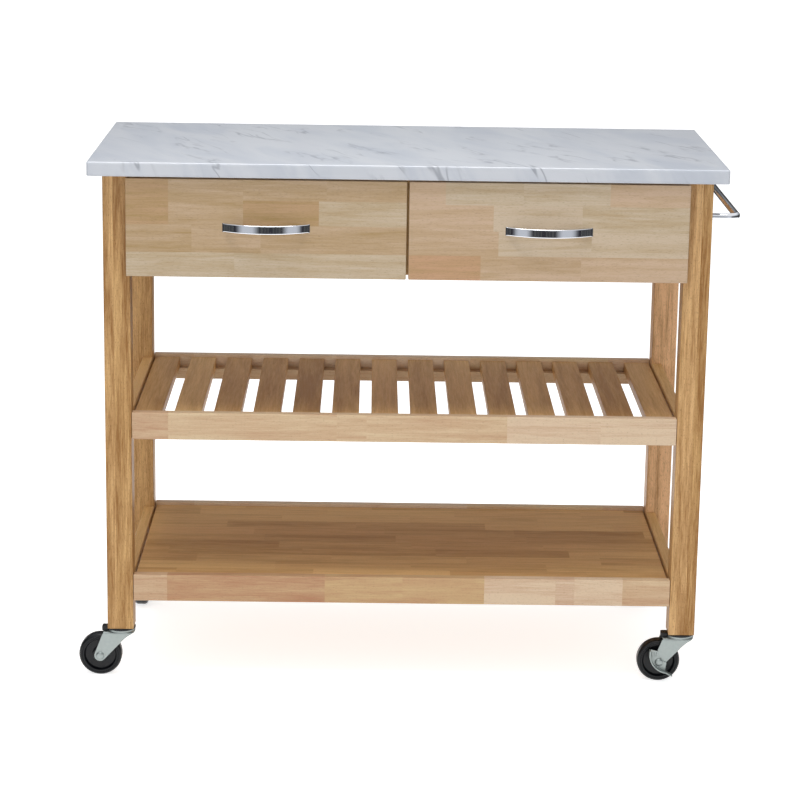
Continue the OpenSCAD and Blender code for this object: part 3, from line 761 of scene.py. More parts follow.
def marble_laminate():
    """Marble-look laminate. In plan a point gets one coordinate along the veins and one across
    them, and the front edge is unfolded so that veins run over it. Veins lie where stretched
    noise is near its middle and a second noise lets them show; clouds are broad noise."""
    worktop = bpy.context.scene.cart_worktop
    top = float(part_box("worktop")[1][2])
    finish = Finish("Marble laminate", Roughness=0.3, Coat_Weight=0.5, Coat_Roughness=0.1)
    x, y, z = finish.place()
    unfolded = y + z - top

    def vein_axes(turn):
        cosine = float(np.cos(turn))
        sine = float(np.sin(turn))
        return x * cosine - unfolded * sine, x * sine + unfolded * cosine

    def veins(turn, length, width, thin, seed):
        along, across = vein_axes(turn)
        wander = finish.noise(finish.vector(along / 0.12, across / 0.12, seed), 2.0) - 0.5
        where = finish.vector(along / length, (across + wander * 0.02) / width, seed)
        middle = (finish.noise(where, 3.0, 0.6) - 0.5).math("ABSOLUTE")
        line = (middle.between(0.0, thin) * -1.0) + 1.0
        patches = finish.noise(finish.vector(along / 0.17, across / 0.06, seed + 9.0), 2.0)
        return line * patches.between(0.52, 0.66)

    bold = veins(worktop.turn, 0.42, 0.085, 0.018, 1.0)
    fine = veins(worktop.turn * 0.86, 0.2, 0.05, 0.03, 4.0)
    along, across = vein_axes(worktop.turn)
    broad = finish.vector(along / 0.3, across / 0.1)
    clouds = finish.noise(broad, 4.0, 0.6, 0.8).between(0.38, 0.72)
    colour = finish.mix(clouds * 0.85, tuple(worktop.ground), tuple(worktop.cloud))
    colour = finish.mix(fine * 0.55, colour, tuple(worktop.vein))
    finish.set("Base Color", finish.mix(bold * 0.6, colour, tuple(worktop.vein)))
    return finish.material


def polished_chrome(name):
    """Polished chrome with a faint haze."""
    finish = Finish(name, Base_Color=tuple(bpy.context.scene.cart_metal.chrome), Metallic=1.0)
    finish.set("Roughness", finish.mottle(20 * MM, 3.0) * 0.08 + 0.03)
    return finish.material


def bright_zinc(name):
    """Bright zinc plating: patches that differ a little in tone and gloss, and fine marks."""
    zinc = tuple(bpy.context.scene.cart_metal.zinc)
    finish = Finish(name, Metallic=0.85)
    patches = finish.mottle(6 * MM, 3.0)
    x, y, z = finish.place()
    marks = finish.noise(finish.vector(x / (0.6 * MM), y / (0.6 * MM), z / (4 * MM)), 1.0)
    finish.set("Base Color", finish.mix(patches, shade(zinc, 0.78), zinc))
    finish.set("Roughness", patches * 0.2 + marks * 0.1 + 0.28)
    finish.bump(marks, 0.03 * MM, 0.3)
    return finish.material


def plated_steel(name):
    """Plated steel of the screws, bolts and nuts."""
    steel = tuple(bpy.context.scene.cart_metal.steel)
    finish = Finish(name, Metallic=1.0)
    patches = finish.mottle(3 * MM, 2.0)
    finish.set("Base Color", finish.mix(patches, shade(steel, 0.8), steel))
    finish.set("Roughness", patches * 0.2 + 0.25)
    return finish.material


def moulded_plastic(name, colour, gloss):
    """Black moulded plastic with a fine grain and dull rub marks."""
    finish = Finish(name, Specular_IOR_Level=0.3)
    rubs = finish.mottle(12 * MM, 3.0).between(0.5, 0.75)
    finish.set("Base Color", finish.mix(rubs * 0.4, colour, shade(colour, 1.6)))
    finish.set("Roughness", rubs * 0.2 + gloss)
    finish.bump(finish.mottle(0.7 * MM, 2.0), 0.04 * MM, 0.4)
    return finish.material


def shared(maker, name):
    """A finish that several pieces use, made once."""
    return bpy.data.materials.get(name) or maker(name)


# Boards

def make_worktop():
    """A slab with round upright corners."""
    worktop = bpy.context.scene.cart_worktop
    low, high = solid_boxes("worktop")[0]
    board = slab(low, high, worktop.edge, worktop.corner)
    build("worktop_slab", [board], marble_laminate(), "worktop_laminate", "worktop")


def make_legs():
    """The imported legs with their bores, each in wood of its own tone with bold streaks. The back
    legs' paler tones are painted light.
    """
    edge = bpy.context.scene.cart_wood.edge
    # The back legs' tones hold painted light: they are paler than their wood, to make up for the
    # shade inside the cart
    for corner, (tone, warm) in LEG_TONES_WITH_PAINTED_LIGHT.items():
        name = "Leg wood " + corner.replace("_", " ")
        wood = plain_wood(name, "Z", "leg", tone, warm, broad=1.5, fine=1.5)
        softened("leg_" + corner, wood, edge / 2)


def make_frame_boards():
    """Slabs for the plain boards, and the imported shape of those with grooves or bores."""
    edge = bpy.context.scene.cart_wood.edge
    lengthwise = plain_wood("Frame wood lengthwise", "X", "shelf", 0.1)
    backwards = plain_wood("Frame wood front to back", "Y", "shelf", 0.0, 0.0)
    boards("back_apron", lengthwise, "frame_wood", edge)
    softened("top_front_rail", lengthwise, edge / 2)
    for node in ("side_apron_left", "side_apron_right", "drawer_divider", "middle_side_rails",
                 "lower_side_rails"):
        boards(node, backwards, "frame_wood", edge)
    softened("top_cleats", backwards, edge / 2)
    runner_wood = plain_wood("Runner wood", "Y", "rail", 0.2)
    boards("drawer_runners", runner_wood, "box_wood", edge / 2)
    strip_wood = plain_wood("Strip wood", "X", "rail", 0.2)
    boards("shelf_cleats", strip_wood, "box_wood", edge / 2)
    dress(runner_wood, "dowels")


def make_shelves():
    """Slabs. The front rails follow their cut lists, each slat is one stave, and the back rails
    and the panel are glued up from staves at random."""
    edge = bpy.context.scene.cart_wood.edge
    for shelf, rows in (("middle", MIDDLE_RAIL_STAVES), ("lower", LOWER_RAIL_STAVES)):
        low, high = solid_boxes(shelf + "_front_rail")[0]
        wood = fitted_wood(shelf.capitalize() + " front rail wood", low, high, rows, "rail")
        boards(shelf + "_front_rail", wood, "front_wood", edge)
    for shelf in ("middle", "lower"):
        low, _ = solid_boxes(shelf + "_back_rail")[0]
        wood = stave_wood(
            shelf.capitalize() + " back rail wood", "X", "Z", "rail", low, row=50 * MM,
            length=260 * MM, spread=0.4, tone=0.1)
        boards(shelf + "_back_rail", wood, "front_wood", edge)
    slats = solid_boxes("middle_slats")
    pitch = float(slats[1][0][0] - slats[0][0][0])
    slat_wood = stave_wood(
        "Slat wood", "Y", "X", "shelf", slats[0][0], row=pitch, length=2.0, tone=0.55, warm=0.3,
        joints=0.0)
    boards("middle_slats", slat_wood, "shelf_wood", edge)
    low, _ = solid_boxes("lower_shelf_panel")[0]
    panel_wood = stave_wood(
        "Panel wood", "X", "Y", "shelf", low, row=42 * MM, length=240 * MM, warm=0.5)
    boards("lower_shelf_panel", panel_wood, "shelf_wood", edge)


# Drawers

def make_drawers():
    """Slabs for the fronts and bottoms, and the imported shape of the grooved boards."""
    edge = bpy.context.scene.cart_wood.edge
    backwards = plain_wood("Box wood front to back", "Y", "rail", 0.15)
    lengthwise = plain_wood("Box wood lengthwise", "X", "rail", 0.15)
    bottom_wood = plain_wood("Bottom wood", "X", "rail", 0.1, 0.1, strip=90 * MM)
    for side, rows in zip(SIDES, (LEFT_FRONT_STAVES, RIGHT_FRONT_STAVES)):
        drawer = "drawer_" + side
        low, high = solid_boxes(drawer + "_front")[0]
        front_wood = fitted_wood(side.capitalize() + " front wood", low, high, rows, "drawer")
        boards(drawer + "_front", front_wood, "front_wood", edge)
        softened(drawer + "_sides", backwards, edge / 2)
        softened(drawer + "_ends", lengthwise, edge / 2)
        boards(drawer + "_bottom", bottom_wood, "box_wood", edge / 3)


def bow_strap(length, out, height, strap, foot, edge, tip):
    """A bow handle, its feet on the plane across = 0 and its bow at across = -out. The outer face
    is an arc through both feet and the bow, the inner one an arc about the same centre, and a
    wedge under each end reaches the plane. Sections are rectangles with round corners along
    rays from the centre, as thick as the distance between the two faces on their ray. They
    crowd where the inner face has a corner: inside, where the arc ends, and at the heel."""
    radius = (length ** 2 / 4 + out ** 2) / (2 * out)
    centre = radius - out
    wall = length / 2 - foot
    end = np.arccos(centre / (radius - tip))
    heel = np.arctan2(wall, centre)
    inside = np.arcsin(wall / (radius - strap))
    near = 0.01
    half_turns = np.concatenate([
        np.linspace(0, inside - 2 * near, 25), np.linspace(inside - near, inside + near, 5),
        np.linspace(heel - near, heel + near, 5), np.linspace(heel + 2 * near, end, 9)])
    turns = np.concatenate([-half_turns[:0:-1], half_turns])
    hollow = wall / np.maximum(np.abs(np.sin(turns)), wall / (radius - strap))
    inner = np.maximum(hollow, centre / np.cos(turns))
    half = np.stack([(radius - inner) / 2, np.full(len(turns), height / 2)], axis=-1)
    corner = np.minimum(edge, 0.9 * half[:, 0])
    section = rectangle_rings(half[:, None], corner, np.zeros(len(turns)), 0.02 * MM)
    along = (radius + inner)[:, None] / 2 + section[..., 0]
    sine, cosine = np.sin(turns)[:, None], np.cos(turns)[:, None]
    return np.stack([along * sine, centre - along * cosine, height / 2 + section[..., 1]], axis=-1)


def make_handles():
    """A bow strap between the outer corners of each packed handle."""
    metal = bpy.context.scene.cart_metal
    chrome = shared(polished_chrome, "Polished chrome")
    for side in SIDES:
        low, high = solid_boxes("drawer_" + side + "_handle")[0]
        rings = bow_strap(
            *(high - low), metal.strap, metal.foot, metal.handle_edge, metal.handle_tip)
        bow = closed(rings + [(low[0] + high[0]) / 2, high[1], low[2]])
        build(f"drawer_{side}_bow_handle", [bow], chrome, "chrome", f"drawer_{side}_handle")


# Towel bar

def make_towel_bar():
    """The bar's path in plan is a straight, a quarter bend, a straight, a quarter bend and a
    straight. Its direction turns with the angle of the bend, and a circle is carried along it."""
    metal = bpy.context.scene.cart_metal
    low, high = solid_boxes("towel_bar")[0]
    radius = metal.bar / 2
    start = np.array([low[0], low[1] + radius])
    end = np.array([low[0], high[1] - radius])
    far = high[0] - radius - metal.bend
    bend_turns = np.linspace(-90, 0, 13)
    steps = np.linspace(0, 1, 7)[:, None]
    front_centre = np.array([far, start[1] + metal.bend])
    back_centre = np.array([far, end[1] - metal.bend])
    centres = np.concatenate([
        (start + [0, metal.bend]) * (1 - steps) + front_centre * steps,
        np.repeat(front_centre[None], 12, axis=0),
        front_centre * (1 - steps) + back_centre * steps,
        np.repeat(back_centre[None], 12, axis=0),
        back_centre * (1 - steps) + (end - [0, metal.bend]) * steps])
    turns = np.radians(np.concatenate([
        np.full(7, -90), bend_turns[1:], np.zeros(7), bend_turns[1:] + 90, np.full(7, 90)]))
    across = np.stack([np.cos(turns), np.sin(turns), np.zeros(len(turns))], axis=-1)
    level = np.full((len(turns), 1), (low[2] + high[2]) / 2)
    path = np.concatenate([centres, level], axis=1) + metal.bend * across
    round_turns = np.linspace(0, 2 * np.pi, 28, endpoint=False)
    section = radius * np.stack([np.cos(round_turns), np.sin(round_turns)], axis=-1)
    tube = closed(carried(path, across, (0, 0, 1), section))
    chrome = shared(polished_chrome, "Polished chrome")
    build("towel_bar_rod", [tube], chrome, "chrome", "towel_bar")


# Casters

def caster_points(corner):
    """A caster's foot on its swivel axis, and the middle of its axle."""
    return (np.array(JOINTS["swivel_" + corner]["pos_m"]),
            np.array(JOINTS["roll_" + corner]["pos_m"]))


def caster_axle(corner):
    """The middle of a caster's axle in the caster's own frame, which has the swivel axis as its
    origin and the wheel trailing towards -X."""
    foot, axle = caster_points(corner)
    return np.array([-np.hypot(*(axle - foot)[:2]), 0, axle[2]])


def at_corner(corner, *surfaces):
    """Surfaces of a caster turned from its own frame to the way that it trails at rest, about its
    swivel axis, and moved to its corner."""
    foot, axle = caster_points(corner)
    ahead = (foot - axle)[:2] / np.hypot(*(foot - axle)[:2])
    turn = np.array([[ahead[0], ahead[1], 0], [-ahead[1], ahead[0], 0], [0, 0, 1]])
    place = [foot[0], foot[1], 0]
    return [(points.reshape(-1, 3) @ turn + place, faces) for points, faces in surfaces]


def on_arc(centre, radius, turn):
    """The point of an arc at an angle."""
    return centre[0] + radius * np.cos(turn), centre[1] + radius * np.sin(turn)


def fork_edges(heights, axle):
    """Back and front edge of a cheek at each height, from the swivel axis. Each edge follows the
    round boss to its tangent point; then the back edge is straight to the top, and the front
    edge is straight to the neck's arc and follows it."""
    boss = np.sqrt(np.maximum(AXLE_BOSS_R ** 2 - (heights - axle[2]) ** 2, 0))
    back_low = on_arc(axle[[0, 2]], AXLE_BOSS_R, BACK_TANGENT)
    front_low = on_arc(axle[[0, 2]], AXLE_BOSS_R, FRONT_TANGENT)
    neck_low = on_arc(NECK_CENTRE, NECK_R, NECK_LOW)
    straight_back = np.interp(heights, (back_low[1], BACK_TOP[1]), (back_low[0], BACK_TOP[0]))
    back = np.where(heights < back_low[1], axle[0] - boss, straight_back)
    straight_front = np.interp(heights, (front_low[1], neck_low[1]), (front_low[0], neck_low[0]))
    neck = NECK_CENTRE[0] - np.sqrt(np.maximum(NECK_R ** 2 - (heights - NECK_CENTRE[1]) ** 2, 0))
    above_boss = np.where(heights < neck_low[1], straight_front, neck)
    front = np.where(heights < front_low[1], axle[0] + boss, above_boss)
    return back, front


def fork_sheet(axle):
    """The pressed sheet of a fork. A section runs up one cheek, round the bend, over the top and
    down the other cheek, once outside and once a sheet's thickness inside, and at each of its
    points the sheet reaches from the back edge to the front edge. Over the top the front edge
    is half an ellipse."""
    boss_turns = np.radians(np.linspace(0, 100, 11))
    bend_turns = np.radians(np.linspace(0, 90, 6))
    bend_z = PLATE_TOP - BEND_R
    side_z = np.concatenate([
        axle[2] - AXLE_BOSS_R * np.cos(boss_turns),
        np.linspace(axle[2] + 4 * MM, bend_z - 1 * MM, 12)])

    def layer(inside):
        wide = CHEEK_OUT - inside
        radius = BEND_R - inside
        side_y = np.full(len(side_z), -wide)
        bend_y = -wide + radius * (1 - np.cos(bend_turns))
        over_y = np.linspace(-CHEEK_OUT + BEND_R, 0, 7)[1:]
        over_z = np.full(len(over_y), bend_z + radius)
        half_y = np.concatenate([side_y, bend_y, over_y])
        half_z = np.concatenate([side_z, bend_z + radius * np.sin(bend_turns), over_z])
        return np.concatenate([half_y, -half_y[-2::-1]]), np.concatenate([half_z, half_z[-2::-1]])

    outer_y, outer_z = layer(0)
    inner_y, inner_z = layer(FORK_T)
    edge_z = np.minimum(outer_z, bend_z)
    back, front = fork_edges(edge_z, axle)
    over = outer_z > bend_z
    back = np.where(over, BACK_TOP[0], back)
    throat = fork_edges(np.array([bend_z]), axle)[1][0]
    dome = np.sqrt(np.maximum(1 - (outer_y / CHEEK_OUT) ** 2, 0))
    front = np.where(over, throat + (CUP_R - throat) * dome, front)
    share = np.linspace(0, 1, 15)
    across = back[:, None] + (front - back)[:, None] * share
    outer = np.stack(np.broadcast_arrays(across, outer_y[:, None], outer_z[:, None]), axis=-1)
    inner = np.stack(np.broadcast_arrays(across, inner_y[:, None], inner_z[:, None]), axis=-1)
    return np.concatenate([outer, inner[:, ::-1]], axis=1)


def make_forks():
    """The pressed sheet, and on top of it the cup for the balls: an eased outline of radius and
    height, turned about the swivel axis."""
    zinc = shared(bright_zinc, "Bright zinc")
    cup = eased([
        (CUP_BORE_R, PLATE_TOP - 1 * MM), (CUP_R + 1.2 * MM, PLATE_TOP - 0.2 * MM),
        (CUP_R, PLATE_TOP + 1.2 * MM), (CUP_R, CUP_TOP), (CUP_BORE_R, CUP_TOP)], 0.5 * MM)
    for corner in CORNERS:
        sheet = closed(fork_sheet(caster_axle(corner)))
        parts = at_corner(corner, sheet, looped(turned(cup)))
        piece = build(f"fork_{corner}_pressed", parts, zinc, "zinc", "fork_" + corner)
        bevelled(piece, 0.4 * MM, 60)


def make_covers():
    """A ring, which is an eased rectangle turned about the swivel axis, and its tail block."""
    casters = bpy.context.scene.cart_casters
    black = moulded_plastic("Cover plastic", tuple(casters.cover), 0.38)
    outline = [
        (COVER_BORE_R, CUP_TOP), (COVER_R, CUP_TOP),
        (COVER_R, COVER_TOP), (COVER_BORE_R, COVER_TOP)]
    ring = looped(turned(eased(outline, 0.9 * MM)))
    block = slab(*COVER_BLOCK, 1.2 * MM, 3 * MM)
    for corner in CORNERS:
        node = "fork_cover_" + corner
        build(node + "_ring", at_corner(corner, ring, block), black, "cover_plastic", node)


def make_axles():
    """A bolt, whose profile of domed head, shank and chamfered end is turned about the axle, and
    an eased hexagonal plate as its nut. The head lies over the brake's plate where there is one."""
    zinc = shared(bright_zinc, "Bright zinc")
    hexagon = np.radians(np.arange(0, 360, 60))
    outline = eased(NUT_R * np.stack([np.cos(hexagon), np.sin(hexagon)], axis=-1), 0.5 * MM, 2)
    end = CHEEK_OUT + BOLT_OUT
    for corner in CORNERS:
        middle = caster_axle(corner)
        reach = CHEEK_OUT + (BRAKE_T + 3 * BRAKE_GAP if corner in BRAKED else 0)
        profile = [(radius * MM, -reach - height * MM) for radius, height in BOLT_HEAD]
        profile += [(BOLT_R, end - BOLT_CHAMFER), (BOLT_R - BOLT_CHAMFER, end), (0, end)]
        bolt = grid(lying(turned(profile, 48), middle), close=True)
        nut = closed(lying(plate(outline, NUT_T, 0.5 * MM), middle + [0, CHEEK_OUT, 0]))
        build(f"axle_{corner}_bolt", at_corner(corner, bolt, nut), zinc, "zinc", "axle_" + corner)


def make_wheels():
    """An outline of radius and half width, turned about the axle: the hub, the thinner web, the
    rim with a groove in its face, and the tread. The other half is its mirror image."""
    casters = bpy.context.scene.cart_casters
    black = moulded_plastic("Wheel plastic", tuple(casters.wheel), 0.3)
    half = np.array([
        (WHEEL_BORE_R, HUB_HALF), (HUB_R, HUB_HALF), (HUB_R + 0.8 * MM, WEB_HALF),
        (RIM_R - 2 * MM, WEB_HALF), (RIM_R, RIM_HALF), (RIM_R + 2.2 * MM, RIM_HALF),
        (RIM_R + 2.6 * MM, RIM_HALF - 0.8 * MM), (RIM_R + 3.4 * MM, RIM_HALF - 0.8 * MM),
        (RIM_R + 3.8 * MM, RIM_HALF), (WHEEL_R - 2.6 * MM, RIM_HALF - 0.2 * MM),
        (WHEEL_R, RIM_HALF - 4 * MM)])
    cuts = np.array([0.4, 0.8, 1.2, 1.2, 0.8, 0.15, 0.15, 0.15, 0.15, 1.4, 2.2]) * MM
    whole = np.concatenate([half, half[::-1] * [1, -1]])
    outline = eased(whole, np.concatenate([cuts, cuts[::-1]]))
    for corner in CORNERS:
        node = "wheel_" + corner
        tyre = looped(lying(turned(outline, 96), caster_axle(corner)))
        build(node + "_moulded", at_corner(corner, tyre), black, "wheel_plastic", node)


def brake_arc(radius, start, end, steps):
    """Points of an arc about the brake's centre, and their outward directions, in side view."""
    turns = np.radians(np.linspace(start, end, steps))
    out = np.stack([np.cos(turns), np.sin(turns)], axis=-1)
    return BRAKE_CENTRE + radius * out, out


def in_side_view(points):
    """Side-view points (along, up) as points in space, at Y 0."""
    return np.stack([points[:, 0], np.zeros(len(points)), points[:, 1]], axis=-1)


def make_brakes():
    """A crescent plate, a tread carried along its lower arc and on along a straight lip that
    turns away from it, and three half-round ridges for grip."""
    zinc = shared(bright_zinc, "Bright zinc")
    outer, _ = brake_arc(BRAKE_OUT_R, BRAKE_FROM, BRAKE_TO, 25)
    inner, _ = brake_arc(BRAKE_IN_R, BRAKE_TO, BRAKE_FROM, 17)
    cuts = np.zeros(len(outer) + len(inner))
    cuts[[0, len(outer) - 1, len(outer), -1]] = 1.0 * MM
    crescent = plate(eased(np.concatenate([outer, inner]), cuts), BRAKE_T, 0.35 * MM)
    tread, tread_out = brake_arc(BRAKE_OUT_R - BRAKE_T / 2, BRAKE_FROM, BRAKE_TO, 25)
    lip_turn = np.radians(BRAKE_TO - LIP_TURN)
    lip_out = np.array([np.cos(lip_turn), np.sin(lip_turn)])
    lip_way = np.array([-lip_out[1], lip_out[0]])
    lip = tread[-1] + np.linspace(1.5 * MM, LIP_L, 4)[:, None] * lip_way
    path = in_side_view(np.concatenate([tread, lip]))
    across = in_side_view(np.concatenate([tread_out, np.tile(lip_out, (4, 1))]))
    half = BRAKE_T / 2
    section = eased([(-half, 0), (half, 0), (half, TREAD_W), (-half, TREAD_W)], 0.5 * MM)
    ridge_turns = np.radians(np.linspace(0, 180, 7))
    ridge = np.stack([
        RIDGE_R * np.cos(ridge_turns), BRAKE_T + RIDGE_H * np.sin(ridge_turns)], axis=-1)
    outwards = (0, -1, 0)
    for corner in BRAKED:
        face = caster_axle(corner) - [0, CHEEK_OUT + BRAKE_GAP, 0]
        parts = [closed(lying(crescent, face, -1))]
        parts.append(closed(carried(path, across, outwards, section) + face))
        for radius in RIDGE_RADII:
            line, out = brake_arc(radius, RIDGE_FROM, RIDGE_TO, 9)
            rings = carried(in_side_view(line), in_side_view(out), outwards, ridge)
            parts.append(closed(rings + face))
        build(f"brake_{corner}_rocker", at_corner(corner, *parts), zinc, "zinc", "brake_" + corner)


def make_fasteners():
    """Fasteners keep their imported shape."""
    steel = shared(plated_steel, "Plated steel")
    dress(steel, "frame_bolts", "barrel_nuts", "worktop_screws", "towel_bar_screws",
          *(f"drawer_{side}_handle_screws" for side in SIDES))
    dress(shared(bright_zinc, "Bright zinc"), "caster_stems")
    dress(shared(polished_chrome, "Polished chrome"), "swivel_balls")


# Stage

def aim(item, place, target):
    """Puts a lamp at a place and points it at a target."""
    item.location = place
    item.rotation_mode = "QUATERNION"
    item.rotation_quaternion = (target - place).to_track_quat("-Z", "Y")


def softbox(name, azimuth, elevation, distance, size, power):
    """A rectangular lamp that lights the cart's middle, and is seen from there at an azimuth,
    degrees right of the front, and an elevation."""
    turn, rise = np.radians(azimuth), np.radians(elevation)
    way = Vector((np.sin(turn) * np.cos(rise), -np.cos(turn) * np.cos(rise), np.sin(rise)))
    lamp = bpy.data.lights.new(name, "AREA")
    lamp.shape = "RECTANGLE"
    lamp.size, lamp.size_y = size
    lamp.energy = power
    item = bpy.data.objects.new(name, lamp)
    bpy.context.scene.collection.objects.link(item)
    aim(item, CART_MIDDLE + way * distance, CART_MIDDLE)


def staged(name, surface, material):
    """A floor or card, which isn't part of the cart."""
    mesh = bpy.data.meshes.new(name)
    points, faces = surface
    mesh.from_pydata(points, [], faces)
    mesh.materials.append(material)
    item = bpy.data.objects.new(name, mesh)
    bpy.context.scene.collection.objects.link(item)
    return item


def seen_directly(tree):
    """1 for rays from the camera, a mirror or glass."""
    path = tree.nodes.new("ShaderNodeLightPath")
    total = path.outputs["Is Camera Ray"]
    for name in ("Is Glossy Ray", "Is Transmission Ray"):
        either = tree.nodes.new("ShaderNodeMath")
        either.operation = "MAXIMUM"
        tree.links.new(total, either.inputs[0])
        tree.links.new(path.outputs[name], either.inputs[1])
        total = either.outputs[0]
    return total


def floor_paper():
    """White paper that keeps the cart's soft shadow and reads as white to the camera elsewhere."""
    white = (1.0, 1.0, 1.0)
    finish = Finish(
        "Floor paper", Base_Color=shade(white, 0.86), Roughness=0.9, Emission_Color=white)
    seen = Value(finish, seen_directly(finish.tree))
    finish.set("Emission Strength", seen * 0.7)
    return finish.material


def mirrored_studio():
    """What the chrome mirrors: dark walls with a pale stretch on each side of the front, and a
    pale band above them all. The angle from the front and the height set the brightness."""
    finish = Finish(
        "Mirrored studio", Base_Color=(0, 0, 0), Specular_IOR_Level=0.0, Emission_Strength=1.0)
    x, y, z = finish.place()
    turn = x.math("ARCTAN2", y * -1.0).math("ABSOLUTE") * (180 / np.pi)
    folds = finish.noise(finish.vector(turn / 2.5, z / 1.5), 3.0).between(0.35, 0.65)
    pale = turn.between(16, 29) - turn.between(40, 54) + z.between(1.2, 1.5)
    dark = finish.mix(folds, *DARK_WALLS)
    finish.set("Emission Color", finish.mix(pale.math("MINIMUM", 1.0), dark, PALE_WALL))
    return finish.material


def make_world():
    """Even light from all round, and plain white where the world is seen directly."""
    stage = bpy.context.scene.cart_stage
    world = bpy.data.worlds.new("Studio")
    bpy.context.scene.world = world
    world.use_nodes = True
    tree = world.node_tree
    even = tree.nodes["Background"]
    even.inputs["Color"].default_value = (0.97, 0.985, 1.0, 1)
    even.inputs["Strength"].default_value = stage.ambient
    white = tree.nodes.new("ShaderNodeBackground")
    white.inputs["Color"].default_value = (1, 1, 1, 1)
    choice = tree.nodes.new("ShaderNodeMixShader")
    tree.links.new(seen_directly(tree), choice.inputs[0])
    tree.links.new(even.outputs[0], choice.inputs[1])
    tree.links.new(white.outputs[0], choice.inputs[2])
    tree.links.new(choice.outputs[0], tree.nodes["World Output"].inputs["Surface"])


def make_floor():
    """A disc at height 0."""
    radius = bpy.context.scene.cart_stage.floor
    angles = np.linspace(0, 2 * np.pi, 96, endpoint=False)
    rim = radius * np.stack([np.cos(angles), np.sin(angles), np.zeros(len(angles))], axis=-1)
    staged("floor", (rim, [list(range(len(rim)))]), floor_paper())


def make_mirrored_walls():
    """An upright cylinder round the cart that only mirrors see."""
    turns = np.radians(np.linspace(0, 360, 73))[:, None]
    wall = np.stack(np.broadcast_arrays(
        WALL_R * np.sin(turns), -WALL_R * np.cos(turns), WALL_HEIGHTS), axis=-1)
    walls = staged("mirrored_walls", grid(wall), mirrored_studio())
    walls.visible_camera = False
    walls.visible_diffuse = False
    walls.visible_transmission = False
    walls.visible_volume_scatter = False
    walls.visible_shadow = False


def make_camera():
    """A camera whose turns and lens fit the photographed edges."""
    stage = bpy.context.scene.cart_stage
    data = bpy.data.cameras.new("Camera")
    data.lens = stage.lens
    data.sensor_width = 36
    data.clip_end = 200
    camera = bpy.data.objects.new("Camera", data)
    bpy.context.scene.collection.objects.link(camera)
    turn = Matrix.Rotation(-stage.yaw, 4, "Z") @ Matrix.Rotation(np.pi / 2 - stage.pitch, 4, "X")
    turn = turn @ Matrix.Rotation(stage.roll, 4, "Z")
    camera.matrix_world = Matrix.Translation(stage.camera) @ turn
    bpy.context.scene.camera = camera


def make_stage():
    """The camera, the surroundings and three softboxes."""
    stage = bpy.context.scene.cart_stage
    bpy.context.scene.view_settings.view_transform = "Standard"
    make_camera()
    make_world()
    make_floor()
    make_mirrored_walls()
    softbox("Key softbox", -14, 10, 3.8, (1.2, 1.0), stage.key)
    softbox("Fill softbox", 16, 10, 3.8, (1.2, 1.0), stage.fill)
    softbox("Overhead softbox", -20, 78, 2.4, (1.8, 1.4), stage.overhead)


# Operators and panel

class CART_OT_worktop(bpy.types.Operator):
    """Lay the marble-look worktop"""

    bl_idname = "cart.worktop"
    bl_label = "Worktop"
    bl_options = {"REGISTER", "UNDO"}

    def execute(self, context):
        make_worktop()
        return {"FINISHED"}


class CART_OT_legs(bpy.types.Operator):
    """Stand the four legs"""

    bl_idname = "cart.legs"
    bl_label = "Legs"
    bl_options = {"REGISTER", "UNDO"}

    def execute(self, context):
        make_legs()
        return {"FINISHED"}


class CART_OT_frame_boards(bpy.types.Operator):
    """Fit the aprons, rails, divider, runners and strips"""

    bl_idname = "cart.frame_boards"
    bl_label = "Frame boards"
    bl_options = {"REGISTER", "UNDO"}

    def execute(self, context):
        make_frame_boards()
        return {"FINISHED"}


class CART_OT_shelves(bpy.types.Operator):
    """Fit the slatted shelf and the solid shelf with their rails"""

    bl_idname = "cart.shelves"
    bl_label = "Shelves"
    bl_options = {"REGISTER", "UNDO"}

    def execute(self, context):
        make_shelves()
        return {"FINISHED"}


class CART_OT_drawers(bpy.types.Operator):
    """Fit both drawers"""

    bl_idname = "cart.drawers"
    bl_label = "Drawers"
    bl_options = {"REGISTER", "UNDO"}

    def execute(self, context):
        make_drawers()
        return {"FINISHED"}


class CART_OT_handles(bpy.types.Operator):
    """Screw on the bow handles"""

    bl_idname = "cart.handles"
    bl_label = "Handles"
    bl_options = {"REGISTER", "UNDO"}

    def execute(self, context):
        make_handles()
        return {"FINISHED"}


class CART_OT_towel_bar(bpy.types.Operator):
    """Fit the towel bar"""

    bl_idname = "cart.towel_bar"
    bl_label = "Towel bar"
    bl_options = {"REGISTER", "UNDO"}

    def execute(self, context):
        make_towel_bar()
        return {"FINISHED"}


class CART_OT_forks(bpy.types.Operator):
    """Fit the casters' forks"""

    bl_idname = "cart.forks"
    bl_label = "Forks"
    bl_options = {"REGISTER", "UNDO"}

    def execute(self, context):
        make_forks()
        return {"FINISHED"}


class CART_OT_covers(bpy.types.Operator):
    """Fit the rings over the forks"""

    bl_idname = "cart.covers"
    bl_label = "Fork covers"
    bl_options = {"REGISTER", "UNDO"}

    def execute(self, context):
        make_covers()
        return {"FINISHED"}


class CART_OT_axles(bpy.types.Operator):
    """Fit the axles"""

    bl_idname = "cart.axles"
    bl_label = "Axles"
    bl_options = {"REGISTER", "UNDO"}

    def execute(self, context):
        make_axles()
        return {"FINISHED"}


class CART_OT_wheels(bpy.types.Operator):
    """Fit the wheels"""

    bl_idname = "cart.wheels"
    bl_label = "Wheels"
    bl_options = {"REGISTER", "UNDO"}

    def execute(self, context):
        make_wheels()
        return {"FINISHED"}


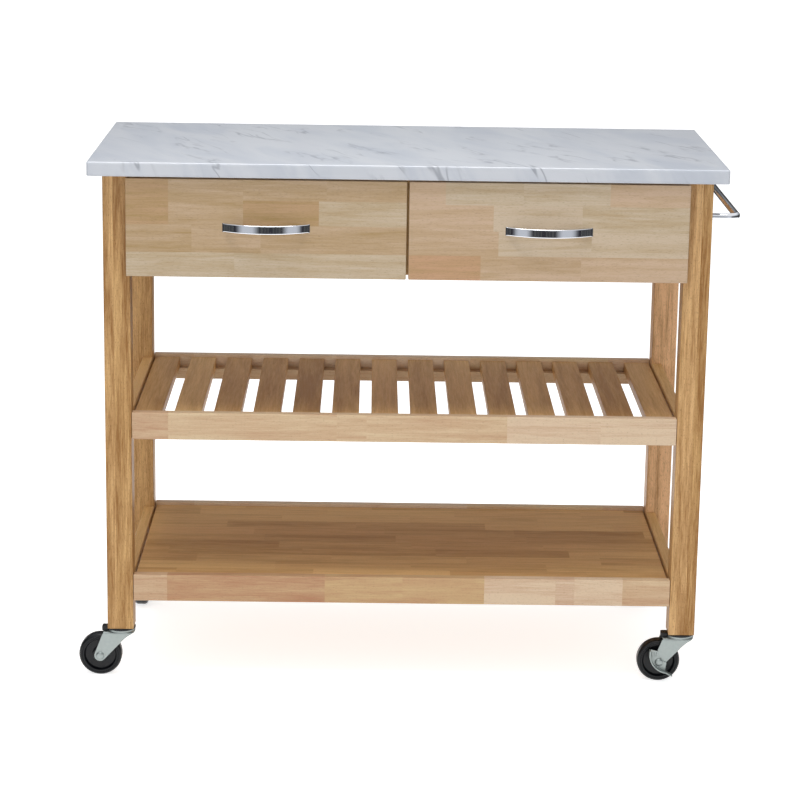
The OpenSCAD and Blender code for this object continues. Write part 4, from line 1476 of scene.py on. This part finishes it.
class CART_OT_brakes(bpy.types.Operator):
    """Fit the foot brakes"""

    bl_idname = "cart.brakes"
    bl_label = "Brakes"
    bl_options = {"REGISTER", "UNDO"}

    def execute(self, context):
        make_brakes()
        return {"FINISHED"}


class CART_OT_fasteners(bpy.types.Operator):
    """Finish the screws, bolts, nuts, stems and balls"""

    bl_idname = "cart.fasteners"
    bl_label = "Fasteners"
    bl_options = {"REGISTER", "UNDO"}

    def execute(self, context):
        make_fasteners()
        return {"FINISHED"}


class CART_OT_stage(bpy.types.Operator):
    """Set up the camera, lamps and floor"""

    bl_idname = "cart.stage"
    bl_label = "Stage"
    bl_options = {"REGISTER", "UNDO"}

    def execute(self, context):
        make_stage()
        return {"FINISHED"}


OPERATORS = (
    CART_OT_stage, CART_OT_worktop, CART_OT_legs, CART_OT_frame_boards, CART_OT_shelves,
    CART_OT_drawers, CART_OT_handles, CART_OT_towel_bar, CART_OT_forks, CART_OT_covers,
    CART_OT_axles, CART_OT_wheels, CART_OT_brakes, CART_OT_fasteners,
)
GROUPS = {
    "cart_wood": CartWood,
    "cart_worktop": CartWorktop,
    "cart_metal": CartMetal,
    "cart_casters": CartCasters,
    "cart_stage": CartStage,
}


class CART_PT_panel(bpy.types.Panel):
    """Lists the cart's steps in their order"""

    bl_idname = "CART_PT_panel"
    bl_label = "Kitchen Cart"
    bl_space_type = "VIEW_3D"
    bl_region_type = "UI"
    bl_category = "Cart"

    def draw(self, context):
        for operator in OPERATORS:
            self.layout.operator(operator.bl_idname)


def register():
    """Makes the groups, the operators and the panel known to Blender."""
    for group in (*GROUPS.values(), *OPERATORS, CART_PT_panel):
        bpy.utils.register_class(group)
    for name, group in GROUPS.items():
        setattr(bpy.types.Scene, name, bpy.props.PointerProperty(type=group))


def unregister():
    """Takes back what register did."""
    for name in GROUPS:
        delattr(bpy.types.Scene, name)
    for group in (CART_PT_panel, *reversed(OPERATORS), *reversed(GROUPS.values())):
        bpy.utils.unregister_class(group)


def main():
    """Takes all steps in order."""
    register()
    for operator in OPERATORS:
        getattr(bpy.ops.cart, operator.bl_idname.split(".")[1])()


if __name__ == "__main__":
    main()
